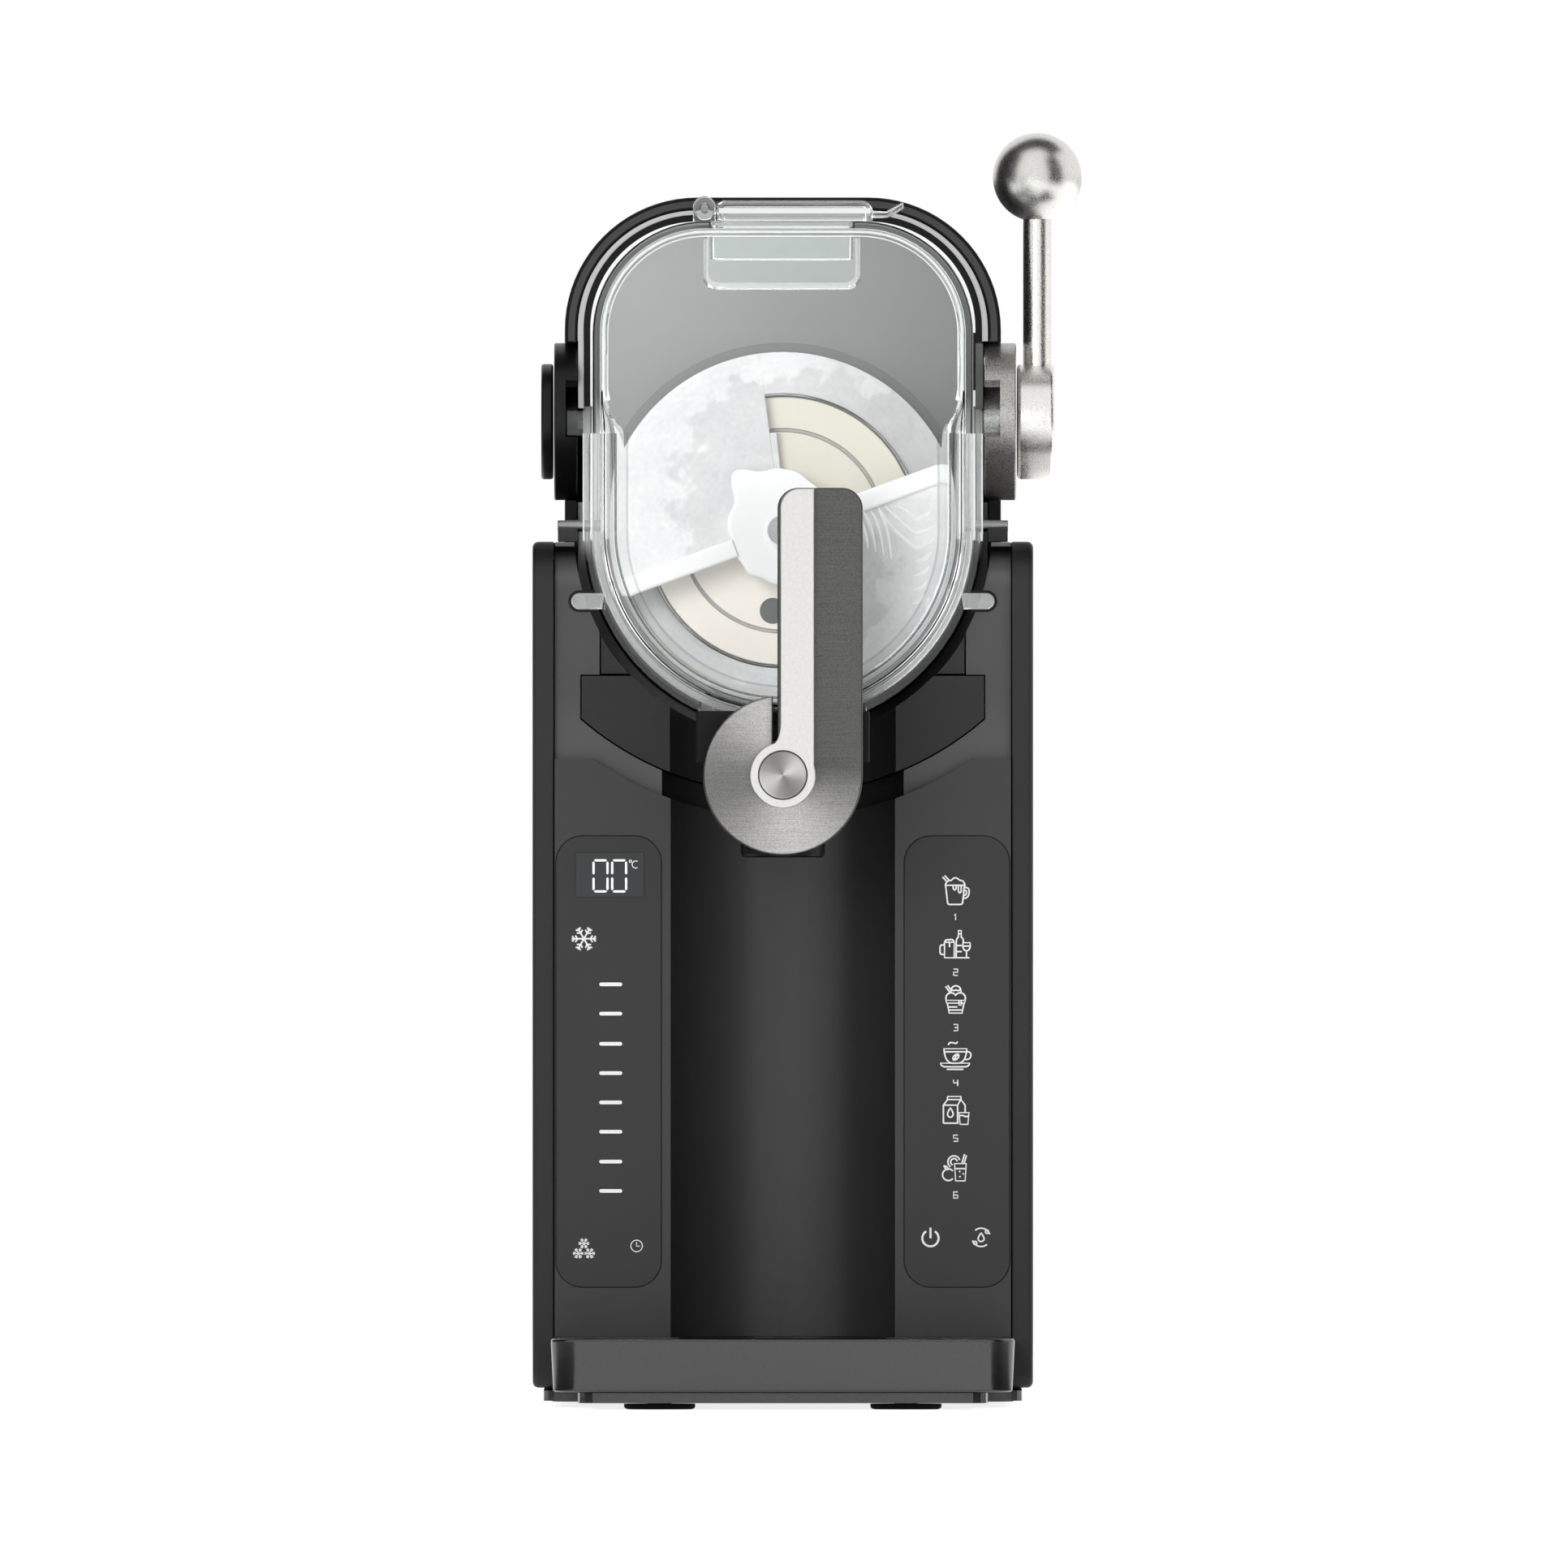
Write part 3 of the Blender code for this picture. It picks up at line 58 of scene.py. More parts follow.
BODY_HALF = 84.6
SIDE_INNER = 77.4
SIDE_BOTTOM = 6.6
SIDE_TOP = 292.6
SIDE_FRONT = -90.0
REAR = 187.5
FEET = {"front": (41.5, -160.0), "rear": (67.6, 150.0)}
FASCIA_FRONT = -92.0
FASCIA_WALL = 3.0
FASCIA_HALF = 77.1
FASCIA_BOTTOM = 6.9
FASCIA_TOP = 219.2
FRONT_CUT = (-100, -40)
NICHE_RADIUS = 37.9
ARCH_Z = 311.2
ARCH_RADIUS = 112.0
UPPER_FRONT = -86.0
UPPER_TOP = 292.4
UPPER_OPENING = 61.9
PANEL_INNER = 41.1
PANEL_OUTER = 76.6
PANEL_LOW = 40.7
PANEL_HIGH = 193.1
PANEL_CORNER = 9.0
PANEL_BACK = FASCIA_FRONT + 1.1
WINDOW = (-70.0, -46.9, 172.4, 187.6)
PRINT = 0.06
PRINT_BACK = FASCIA_FRONT + 0.05
CATCH_HALF = 68.0
CATCH_TOP = 247.2
CATCH_FRONT = -87.0
CATCH_BACK = -47.0
CATCH_ARCH = 103.7
TRAY_HALF = 78.2
TRAY_FRONT = -187.5
TRAY_CORNER = 10.0
TRAY_BACK = -92.4
TOWER_HALF = 74.1
TOWER_TOP = 410.0
TOWER_CORNER = 45.0
TOWER_FRONT = 42.0
TOWER_BOTTOM = 289.4
PLATE_FRONT = 48.0
PLATE_BACK = 52.0
PLATE_INSET = 4.3
AXIS_Z = 296.2
DRUM_AXIS = (0, AXIS_Z)
VESSEL_HALF = 64.2
VESSEL_TOP = 400.6
VESSEL_CORNER = 38.0
VESSEL_FRONT = -137.0
VESSEL_WALL = 3.0
INNER_FILLET = 6.0
INNER_INSET_HIGH = 2.2
INNER_INSET_LOW = 7.2
FACE_STEPS = (
    (0, 0, 4.9), (0.15, 0.15, 4.3), (0.6, 0.6, 3.9), (2.6, 2.5, 3.6), (3.1, 2.8, 2.9), (3.8, 3.2, 2.7),
    (4.5, 3.5, 3.0), (7.6, 4.0, 1.9), (8.2, 4.2, 1.1), (9.2, 4.6, 0.3), (10.7, 5.0, 0))
FACE_STEP_HIGH = 340.2
FACE_STEP_LOW = 329.0
FLANGE_FRONT = 41.5
FLANGE_BACK = 45.5
FLANGE_OUT = 3.2
FLANGE_CORNER = VESSEL_CORNER - 2.8
FLANGE_CENTRE = (VESSEL_HALF - FLANGE_CORNER, VESSEL_TOP - FLANGE_CORNER)
SEAL_FRONT = 45.8
SWEEP_RADIUS = 70.6
PORT = (-27.0, 26.3, -104.0, -44.0)
PORT_BOTTOM = 378.0
HINGE_AXIS = (-26.5, 405.4)
HINGE_RADIUS = 3.85
HINGE_BORE = 1.6
LID_LEFT = HINGE_AXIS[0] + 4.3
LID_Y = (-106.5, -41.5)
BARREL_Y = (-102.0, -46.0)
SPOUT_AXIS = (0, -123.0)
SPOUT_BORE = 7.5
TAP_Z = 213.7
TAP_AXIS = (0, TAP_Z)
PLUG_RADIUS = 12.0
NOZZLE_RADIUS = 14.2
NOZZLE_BOTTOM = 185.9
DISC_RADIUS = 26.95
HANDLE_TOP = 310.5
HANDLE_LEFT = -1.8
HANDLE_BACK = -157.5
HANDLE_FRONT = -165.5
STRIP_LEFT = -0.8
STRIP_RIGHT = 10.6
STRIP_FRONT = -170.0
RING_RADIUS = 11.1
CAP_RADIUS = 8.1
DRUM_RADIUS = 45.0
DRUM_FRONT = -97.0
CAP_FRONT = -101.0
AUGER_RADIUS = 60.4
AUGER_BORE = 46.5
AUGER_PITCH = 48.0
AUGER_FRONT = -119.0
AUGER_BACK = 38.0
AUGER_HUB = 16.5
AUGER_LEADS = (20, 200)
SCOOP_SWEEP = 102.0
FROST_LEAD = 20.0
FROST_EDGE = (0.0666, 0.0306)
SHAFT_HOLE = 5.0 + GAP
LOCK_Y = 58.0
LOCK_Z = 333.9
LOCK_AXIS = (LOCK_Y, LOCK_Z)
LOCK_RADIUS = 26.7
LOCK_ROOM = LOCK_RADIUS + 0.8
LOCK_INNER = 68.4
LOCK_OUTER = {-1: 77.7, 1: 79.3}
LIP_OUT = 69.5
HUB_RADIUS = 19.6
HUB_RIGHT = 92.3
HUB_LEFT = 82.1
STEM_AXIS = (86.5, LOCK_Y)
STEM_RADIUS = 4.8
BALL_Z = 416.9
BALL_RADIUS = 15.1
LUG_LOW = 329.2
LUG_HIGH = 337.4
LUG_OUT = 73.3

PHOTO_WIDTH = 0.5313
CAMERA_PLACE = Vector((-0.0081, -24.5, 0.2107))
SCALE_PLANE = -25.0
SENSOR = 36.0
AMBIENT = 0.32


# Shapes

def point(u, v, along, axis):
    """A point from its place in the outline's plane and its distance along the axis."""
    return Vector({"X": (along, u, v), "Y": (u, along, v), "Z": (u, v, along)}[axis])


def arc(centre_u, centre_v, radius, start, end, steps):
    """Points on an arc, angles in degrees, both ends included."""
    angles = [math.radians(start + (end - start) * k / steps) for k in range(steps + 1)]
    return [(centre_u + radius * math.cos(a), centre_v + radius * math.sin(a)) for a in angles]


def circle(centre_u, centre_v, radius, steps):
    return arc(centre_u, centre_v, radius, 0, 360, steps)[:-1]


def bend(start, control, end, steps=8):
    """Points on a curve from start to end that is drawn toward the control point."""
    found = []
    for k in range(steps + 1):
        t = k / steps
        weights = ((1 - t) ** 2, 2 * t * (1 - t), t ** 2)
        found.append(tuple(sum(w * p[i] for w, p in zip(weights, (start, control, end))) for i in (0, 1)))
    return found


def mirrored(outline, side):
    return [(side * x, z) for x, z in outline]


def shifted(base, *places):
    """A profile whose distances along the axis are given from a base."""
    return [(radius, base + along) for radius, along in places]


def skin(shape, rows, closed):
    """Faces between rows of vertices, capped at both ends unless closed on itself."""
    for low, high in zip(rows, rows[1:] + rows[:1] if closed else rows[1:]):
        for k in range(len(low)):
            after = (k + 1) % len(low)
            corners = list(dict.fromkeys((low[k], low[after], high[after], high[k])))
            if len(corners) > 2:
                shape.faces.new(corners)
    for row in () if closed else (rows[0], rows[-1]):
        if row[0] is not row[1]:
            shape.faces.new(row)
    return shape


def loft(rings, closed=False):
    """A skin through rings of equal length."""
    shape = bmesh.new()
    return skin(shape, [[shape.verts.new(p) for p in ring] for ring in rings], closed)


def lathe(profile, axis, centre=(0, 0), steps=FINE, closed=False):
    """A turned shape. The profile is a list of (radius, distance along the axis)."""
    shape = bmesh.new()
    rows = []
    for radius, along in profile:
        if radius < ON_AXIS:
            rows.append([shape.verts.new(point(*centre, along, axis))] * steps)
        else:
            ring = circle(*centre, radius, steps)
            rows.append([shape.verts.new(point(u, v, along, axis)) for u, v in ring])
    return skin(shape, rows, closed)


def cylinder(radius, low, high, axis, centre=(0, 0), steps=48):
    return lathe([(radius, low), (radius, high)], axis, centre, steps)


def inset(outline, distance):
    """The outline drawn inward by a distance, with its corners mitred."""
    size = len(outline)
    area = sum(outline[k - 1][0] * outline[k][1] - outline[k][0] * outline[k - 1][1] for k in range(size))
    side = 1 if area > 0 else -1
    found = []
    for k in range(size):
        here = Vector(outline[k])
        before = (here - Vector(outline[k - 1])).normalized()
        after = (Vector(outline[(k + 1) % size]) - here).normalized()
        first = Vector((-before.y, before.x)) * side
        second = Vector((-after.y, after.x)) * side
        share = max(0.3, 1 + first.dot(second))
        found.append(tuple(here + (first + second) * (distance / share)))
    return found


def slab(outline, low, high, axis, low_fillet=0.0, high_fillet=0.0, steps=4):
    """An outline given thickness, with its edges rounded at either end."""
    rings = []
    for end, inward, fillet in ((low, 1, low_fillet), (high, -1, high_fillet)):
        rows = []
        for k in range(steps + 1 if fillet else 1):
            angle = math.radians(90 * k / steps)
            edge = inset(outline, fillet * (1 - math.sin(angle))) if fillet else outline
            along = end + inward * fillet * (1 - math.cos(angle))
            rows.append([point(u, v, along, axis) for u, v in edge])
        rings += rows[::inward]
    return loft(rings)


def slabs(outlines, *extent, **fillets):
    """Several outlines given the same thickness, as one shape."""
    return merged(*[slab(outline, *extent, **fillets) for outline in outlines])


def box(x0, x1, y0, y1, z0, z1, fillet=0.0):
    outline = [(x0, y0), (x1, y0), (x1, y1), (x0, y1)]
    if fillet:
        outline = rounded_box(x0, x1, y0, y1, fillet, 4)
    return slab(outline, z0, z1, "Z", fillet * 0.6, fillet * 0.6)


def turned_bar(radius, low, high, fillet, steps=4):
    """A lathe profile from axis to axis, with its two outer corners rounded."""
    corners = [(0, low), (radius, low), (radius, high), (0, high)]
    found = [corners[0]]
    for before, here, after in zip(corners, corners[1:], corners[2:]):
        middle = Vector(here)
        ends = []
        for other in (before, after):
            way = Vector(other) - middle
            ends.append(tuple(middle + way.normalized() * min(fillet, way.length * 0.45)))
        found += bend(ends[0], here, ends[1], steps)
    return found + [corners[-1]]


def as_mesh(name, shape):
    mesh = bpy.data.meshes.new(name)
    shape.to_mesh(mesh)
    shape.free()
    return mesh


def linked(name, data):
    made = bpy.data.objects.new(name, data)
    bpy.context.scene.collection.objects.link(made)
    return made


def merged(*parts):
    """Several separate shapes as one mesh."""
    whole = bmesh.new()
    for part in parts:
        mesh = as_mesh("merging", part)
        whole.from_mesh(mesh)
        bpy.data.meshes.remove(mesh)
    return whole


def helper(shape):
    bmesh.ops.recalc_face_normals(shape, faces=shape.faces)
    return linked("helper", as_mesh("helper", shape))


def combined(shape, tools, operation):
    """The shape with helper shapes joined to it or cut away, one exact Boolean for each."""
    base = helper(shape)
    helpers = [helper(tool) for tool in tools]
    for other in helpers:
        step = base.modifiers.new("step", "BOOLEAN")
        step.object = other
        step.operation = operation
        step.solver = "EXACT"
    bpy.context.view_layer.update()
    result = bmesh.new()
    result.from_mesh(base.evaluated_get(bpy.context.evaluated_depsgraph_get()).data)
    for other in [base] + helpers:
        mesh = other.data
        bpy.data.objects.remove(other)
        bpy.data.meshes.remove(mesh)
    return result


def join(shape, *tools):
    return combined(shape, tools, "UNION")


def cut(shape, *tools):
    return combined(shape, tools, "DIFFERENCE")


def pair(side, near, far):
    """The two X limits of a span that is mirrored to the left when side is -1."""
    return (near, far) if side > 0 else (-far, -near)


def eased(made, width, segments, angle):
    """A bevel on the edges that are sharper than an angle."""
    rounding = made.modifiers.new("rounding", "BEVEL")
    rounding.width = width * MM
    rounding.segments = segments
    rounding.limit_method = "ANGLE"
    rounding.angle_limit = math.radians(angle)
    return rounding


def mounted(name, mesh, body, look, nodes=()):
    """A mesh on its body, with its look and the CAD nodes it stands for."""
    mesh.materials.clear()
    mesh.materials.append(LOOKS[look])
    mesh.shade_smooth()
    made = linked(name, mesh)
    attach(made, body)
    if nodes:
        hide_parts(*nodes)
    return made


def piece(name, shape, body, look, stands_for=None, bevel=0.0, angle=32):
    """A finished piece on its body. It stands for the CAD node of its name unless told otherwise."""
    bmesh.ops.remove_doubles(shape, verts=shape.verts, dist=0.001)
    bmesh.ops.translate(shape, verts=shape.verts, vec=(MIDDLE_X, 0, 0))
    bmesh.ops.scale(shape, verts=shape.verts, vec=(MM, MM, MM))
    bmesh.ops.recalc_face_normals(shape, faces=shape.faces)
    mesh = as_mesh(name + "_look", shape)
    nodes = (name,) if stands_for is None else stands_for
    made = mounted(name + "_look", mesh, body, look, nodes)
    mesh.set_sharp_from_angle(angle=math.radians(angle))
    if bevel:
        eased(made, bevel, 2, angle).harden_normals = True
    made.modifiers.new("flat_faces", "WEIGHTED_NORMAL").keep_sharp = True
    return made


def clear_piece(*what, **how):
    """A clear piece. It throws no shadow, so that what it holds is lit as in daylight."""
    made = piece(*what, **how)
    made.visible_shadow = False
    made.visible_diffuse = False


# Outlines

def rounded_box(u0, u1, v0, v1, radius, steps=8):
    found = arc(u1 - radius, v0 + radius, radius, -90, 0, steps)
    found += arc(u1 - radius, v1 - radius, radius, 0, 90, steps)
    found += arc(u0 + radius, v1 - radius, radius, 90, 180, steps)
    found += arc(u0 + radius, v0 + radius, radius, 180, 270, steps)
    return found


def arched(half, top, corner, bottom, steps=20):
    """A flat-footed outline with two round top corners."""
    found = [(-half, bottom), (half, bottom)]
    found += arc(half - corner, top - corner, corner, 0, 90, steps)
    found += arc(corner - half, top - corner, corner, 90, 180, steps)
    return found


def wrapped(front, back, inner, outer, steps):
    """The plan of a front wall with a half-round hollow behind the fascia's face."""
    start = math.degrees(math.asin((front - FASCIA_FRONT) / inner))
    end = math.degrees(math.asin((back - FASCIA_FRONT) / outer))
    found = [(-FASCIA_HALF, front)] + arc(0, FASCIA_FRONT, inner, 180 - start, start, steps)
    found += [(FASCIA_HALF, front), (FASCIA_HALF, back)]
    return found + arc(0, FASCIA_FRONT, outer, end, 180 - end, steps) + [(-FASCIA_HALF, back)]


def vessel_ring(offset, y, low=0.0, high=0.0, corner=VESSEL_CORNER):
    """The vessel's section grown by an offset, then drawn in by one amount low down and another above.

    A smaller corner turns about a centre that is further out.
    """
    places = [(VESSEL_HALF, 0, AXIS_Z, 180 + 180 * k / 72) for k in range(73)]
    height = FACE_STEP_HIGH - FACE_STEP_LOW
    rise = [FACE_STEP_LOW + height * k / 6 for k in range(7)]
    places += [(VESSEL_HALF, 0, z, 0) for z in rise]
    corner_z = VESSEL_TOP - corner
    corner_x = VESSEL_HALF - corner
    places += [(corner, corner_x, corner_z, 90 * k / 20) for k in range(21)]
    places += [(corner, -corner_x, corner_z, 90 + 90 * k / 20) for k in range(21)]
    places += [(VESSEL_HALF, 0, z, 180) for z in reversed(rise)]
    ring = []
    for radius, centre_x, centre_z, degrees in places:
        angle = math.radians(degrees)
        z = centre_z + radius * math.sin(angle)
        share = min(1.0, max(0.0, (z - FACE_STEP_LOW) / height))
        share = share * share * (3 - 2 * share)
        reach = radius + offset - low - (high - low) * share
        ring.append(Vector((centre_x + reach * math.cos(angle), y, centre_z + reach * math.sin(angle))))
    return ring


def vessel_rings(steps, corner=VESSEL_CORNER):
    return [vessel_ring(offset, y, corner=corner) for offset, y in steps]


def tray_outline(offset):
    """The tray's plan: round front corners and a half-round lobe in the cup niche."""
    half = TRAY_HALF + offset
    front = TRAY_FRONT - offset
    back = TRAY_BACK + offset
    corner = TRAY_CORNER + offset
    lobe = NICHE_RADIUS - 0.5 + offset
    start = math.degrees(math.asin((back - FASCIA_FRONT) / lobe))
    found = arc(corner - half, front + corner, corner, 180, 270, 14)
    found += arc(half - corner, front + corner, corner, 270, 360, 14)
    found.append((half, back))
    found += arc(0, FASCIA_FRONT, lobe, start, 180 - start, 48)
    found.append((-half, back))
    return found


def over_the_top(outer, inner, feet):
    """A band over two round corners, between two lines that are each (centre x, centre z, radius)."""
    found = []
    for (x, z, radius), step in ((outer, 1), (inner, -1)):
        line = arc(x, z, radius, 0, 90, 24) + arc(-x, z, radius, 90, 180, 24)
        line = [(x + radius, feet[0])] + line + [(-x - radius, feet[1])]
        found += line[::step]
    return found


def lower_sweep(section, end):
    """A section carried along the vessel's lower outline, from the step to an angle, on either side."""
    stations = [(0, z) for z in (FACE_STEP_LOW, 318, 307)] + [(end * k / 24, AXIS_Z) for k in range(25)]
    halves = []
    for side in SIDES:
        rings = []
        for degrees, z in stations:
            across, down = math.cos(math.radians(degrees)), math.sin(math.radians(degrees))
            reaches = [(VESSEL_HALF + offset, y) for offset, y in section]
            rings.append([Vector((side * reach * across, y, z - reach * down)) for reach, y in reaches])
        halves.append(loft(rings))
    return merged(*halves)


# Materials

LOOKS = {}
for slot, looks in {
    "white_plastic": "white_print ice",
    "display_gloss": "display_light",
    "brushed_steel": "turned_steel",
    "polished_steel": "ball_steel speckled_steel bright_steel",
    "fascia_plastic": "catch_plastic",
    "black_plastic": "gloss_black trim_plastic tower_black",
    "grey_plastic": "ring_plastic",
    "grey_rubber": "seal_rubber lip_rubber nut_grey",
    "black_rubber": "gasket_rubber",
    "clear_plastic": "port_plastic lid_plastic bead_white band_white veil_plastic edge_plastic"
                     " rim_plastic mist_plastic shade_plastic line_plastic",
}.items():
    dict.fromkeys(looks.split(), slot)

COLOUR = "Base Color"
SPECULAR = "Specular IOR Level"
METALLIC = "Metallic"

# Screen colour, roughness, specular level, then the scale and depth of the texture and the mottle.
PLASTICS = {
    "fascia_plastic": (41, 0.38, 0.54),
    "side_plastic": (38, 0.44, 0.32),
    "tray_plastic": (20, 0.2, 0.95),
    "upper_plastic": (71, 0.42, 0.38),
    "catch_plastic": (35, 0.42, 0.34),
    "black_plastic": (13, 0.4, 0.2),
    "gloss_black": (8, 0.36, 0.28),
    "panel_gloss": (47, 0.34, 0.3, 2600.0, 0.03, 0.03),
    "display_gloss": ((64, 65, 66), 0.16, 0.12, 2600.0, 0.02, 0.03),
    "ice": (246, 0.5, 0.3, 900.0, 0.2, 0.03),
    "bead_white": ((246, 247, 247), 0.3, 0.5, 900.0, 0.05, 0.02),
    "band_white": ((218, 224, 222), 0.4, 0.3, 900.0, 0.05, 0.02),
    "trim_plastic": (52, 0.42, 0.45),
    "tower_black": (11, 0.4, 0.16),
    "lip_rubber": ((194, 194, 193), 0.6, 0.3, 1500.0, 0.2, 0.08),
    "white_print": (232, 0.5, 0.2, 3000.0, 0.03, 0.03),
    "black_rubber": (28, 0.8, 0.2, 900.0, 0.25, 0.12),
    "grey_rubber": ((96, 98, 98), 0.7, 0.2, 900.0, 0.15, 0.08),
    "nut_grey": ((176, 177, 177), 0.6, 0.3, 900.0, 0.1, 0.05),
    "black_paint": ((22, 22, 24), 0.45, 0.3, 500.0, 0.1, 0.1),
    "circuit_board": ((22, 74, 46), 0.45, 0.3, 700.0, 0.1, 0.2),
}
# Screen colour, roughness, grain, then the contrast, depth and detail of the grain and the metallic level.
METALS = {
    "pale_metal": ((226, 225, 223), 0.42, (900, 900, 900), 0.05, 0.12),
    "polished_steel": ((246, 244, 240), 0.28, (2600, 2600, 2600), 0.12, 0.3, 1.0),
    # ball_steel and bright_steel are darker and lighter copies of polished_steel for the lever's ball and
    # hub: painted shade and painted light.
    "ball_steel": ((226, 224, 220), 0.31, (2600, 2600, 2600), 0.14, 0.3, 1.0),
    "speckled_steel": ((174, 172, 168), 0.32, (2300, 2300, 2300), 0.34, 0.4, 1.0, 0.8),
    "bright_steel": ((240, 238, 234), 0.3, (2300, 2300, 2300), 0.12, 0.4, 1.0),
    "plain_steel": ((160, 160, 162), 0.38, (30, 1500, 1500)),
    "aluminium": ((190, 192, 194), 0.4, (900, 900, 40)),
    "copper": ((196, 122, 84), 0.3, (240, 240, 240), 0.12, 0.05),
}
# Transmission, index of refraction and share of the tint.
CLEARS = {
    "clear_plastic": (1.0,),
    "port_plastic": (0.965,),
    "lid_plastic": (0.94, 1.2, 0.83),
    "edge_plastic": (0.35,),
    "rim_plastic": (0.9, 1.4, 0.88),
    "mist_plastic": (0.8, 1.4, 0.94),
    # shade_plastic, veil_plastic and line_plastic are darkened clears for pieces that paint dark lines in the
    # vessel's rim.
    "shade_plastic": (1.0, 1.02, 0.8),
    "veil_plastic": (1.0, 1.02, 0.92),
    "line_plastic": (1.0, 1.02, 0.72),
}
# Shares of the tone at heights near the top of a front face: a painted soft shadow, and on the upper panel's
# top edge a painted highlight.
UPPER_SHADES = (
    (276, 1.0), (278, 1.1), (280.5, 1.28), (282, 1.15), (283.5, 0.86), (285, 0.69), (286.5, 0.47),
    (288, 0.16), (289.5, 0.03), (290.8, 0.03), (291.5, 1.5), (UPPER_TOP, 1.5))
SIDE_SHADES = ((279, 1.0), (284, 0.8), (287, 0.42), (289, 0.35), (291, 0.5), (SIDE_TOP, 1.0))


def linear(level):
    """One screen colour level from 0 to 255 as a linear value."""
    level = level / 255
    return level / 12.92 if level <= 0.04045 else ((level + 0.055) / 1.055) ** 2.4


def colour(screen, scale=1.0):
    """A screen colour, or one grey level, as a shader colour."""
    levels = (screen,) * 3 if isinstance(screen, int) else screen
    return [linear(c) * scale for c in levels] + [1.0]


def add(tree, kind, inputs=None, **settings):
    """A node with its settings made, and its inputs set or linked."""
    made = tree.nodes.new(kind)
    for key, value in settings.items():
        setattr(made, key, value)
    for key, value in (inputs or {}).items():
        if isinstance(value, bpy.types.NodeSocket):
            tree.links.new(value, made.inputs[key])
        else:
            made.inputs[key].default_value = value
    return made


def calc(tree, operation, *values):
    return add(tree, "ShaderNodeMath", dict(enumerate(values)), operation=operation).outputs[0]


def blend(tree, operation, *values):
    return add(tree, "ShaderNodeVectorMath", dict(enumerate(values)), operation=operation).outputs[0]


def start_look(name):
    made = bpy.data.materials.new(name + "_look")
    made.use_nodes = True
    LOOKS[name] = made
    return made.node_tree, made.node_tree.nodes["Principled BSDF"]


def place_of(tree, scale=(1, 1, 1), location=(0, 0, 0)):
    where = add(tree, "ShaderNodeTexCoord").outputs["Object"]
    inputs = {"Vector": where, "Scale": scale, "Location": location}
    return add(tree, "ShaderNodeMapping", inputs).outputs["Vector"]


def axes(tree, where):
    """The three parts of a place."""
    return add(tree, "ShaderNodeSeparateXYZ", {"Vector": where}).outputs


def reach_of(tree, across, up):
    """How far a place is from the axis that its parts are counted from."""
    flat = add(tree, "ShaderNodeCombineXYZ", {"X": across, "Z": up}).outputs[0]
    return add(tree, "ShaderNodeVectorMath", {0: flat}, operation="LENGTH").outputs["Value"]


def grain(tree, vector, scale, detail=3.0):
    inputs = {"Vector": vector, "Scale": scale, "Detail": detail}
    return add(tree, "ShaderNodeTexNoise", inputs).outputs["Fac"]


def ramp(tree, factor, *stops):
    """A colour that changes with a factor: stops are (place, colour)."""
    made = add(tree, "ShaderNodeValToRGB", {"Fac": factor})
    band = made.color_ramp
    while len(band.elements) < len(stops):
        band.elements.new(0.5)
    for element, (place, value) in zip(band.elements, stops):
        element.position = place
        element.color = value
    return made.outputs["Color"]


def mottled(tree, factor, screen, share):
    """A tone that varies by a share on either side."""
    return ramp(tree, factor, (0.3, colour(screen, 1 - share)), (0.7, colour(screen, 1 + share)))


def limits(tree, value, start, end, low=0.0, high=1.0):
    """A value carried from one range to another."""
    inputs = {"Value": value, "From Min": start, "From Max": end, "To Min": low, "To Max": high}
    return add(tree, "ShaderNodeMapRange", inputs).outputs["Result"]


def by_height(tree, up, stops):
    """A colour that changes with height: stops are (height, colour)."""
    low, high = stops[0][0], stops[-1][0]
    rise = limits(tree, up, low * MM, high * MM)
    return ramp(tree, rise, *[((z - low) / (high - low), value) for z, value in stops])


def coat(tree, shader, tone, wear, rough, relief=None, levels=None):
    """A finish: its tone, a roughness range that follows the wear, a (height, strength, distance) relief."""
    tree.links.new(tone, shader.inputs[COLOUR])
    tree.links.new(limits(tree, wear, 0.3, 0.7, *rough), shader.inputs["Roughness"])
    for name, level in (levels or {}).items():
        shader.inputs[name].default_value = level
    if relief:
        made = add(tree, "ShaderNodeBump", dict(zip(("Height", "Strength", "Distance"), relief)))
        tree.links.new(made.outputs["Normal"], shader.inputs["Normal"])


def plastic(name, screen, roughness, specular, fine=1600.0, depth=0.12, mottle=0.07):
    """Moulded plastic or rubber: a faint cloudy tone over a fine sprayed texture."""
    tree, shader = start_look(name)
    where = place_of(tree)
    tone = mottled(tree, grain(tree, where, 18.0, 4.0), screen, mottle)
    speck = grain(tree, where, fine, 2.0)
    rough = (roughness - 0.05, roughness + 0.05)
    coat(tree, shader, tone, speck, rough, (speck, depth, 0.00012), {SPECULAR: specular})


def metal(name, screen, roughness, scale, contrast=0.18, depth=0.1, detail=3.0, metallic_or_painted_shadow=1.0):
    """Brushed or blasted metal: the grain is long where the scale is small."""
    tree, shader = start_look(name)
    streak = grain(tree, place_of(tree, scale), 1.0, detail)
    tone = mottled(tree, streak, screen, contrast)
    rough = (roughness - 0.06, roughness + 0.06)
    coat(tree, shader, tone, streak, rough, (streak, depth, 0.0001), {METALLIC: metallic_or_painted_shadow})


def clear(name, clearness, ior=1.46, shade=1.0):
    """Clear moulded plastic with a faint green-blue cast, slight flow marks and a little mist."""
    tree, shader = start_look(name)
    flow = grain(tree, place_of(tree, (1, 1, 0.4)), 34.0, 2.0)
    stops = ((0.3, (0.952, 0.98, 0.974)), (0.7, (0.974, 0.99, 0.986)))
    tone = ramp(tree, flow, *[(place, [c * shade for c in tint] + [1]) for place, tint in stops])
    levels = {"Transmission Weight": clearness, "IOR": ior, SPECULAR: 0.3}
    coat(tree, shader, tone, flow, (0.0, 0.02), (flow, 0.02, 0.0004), levels)


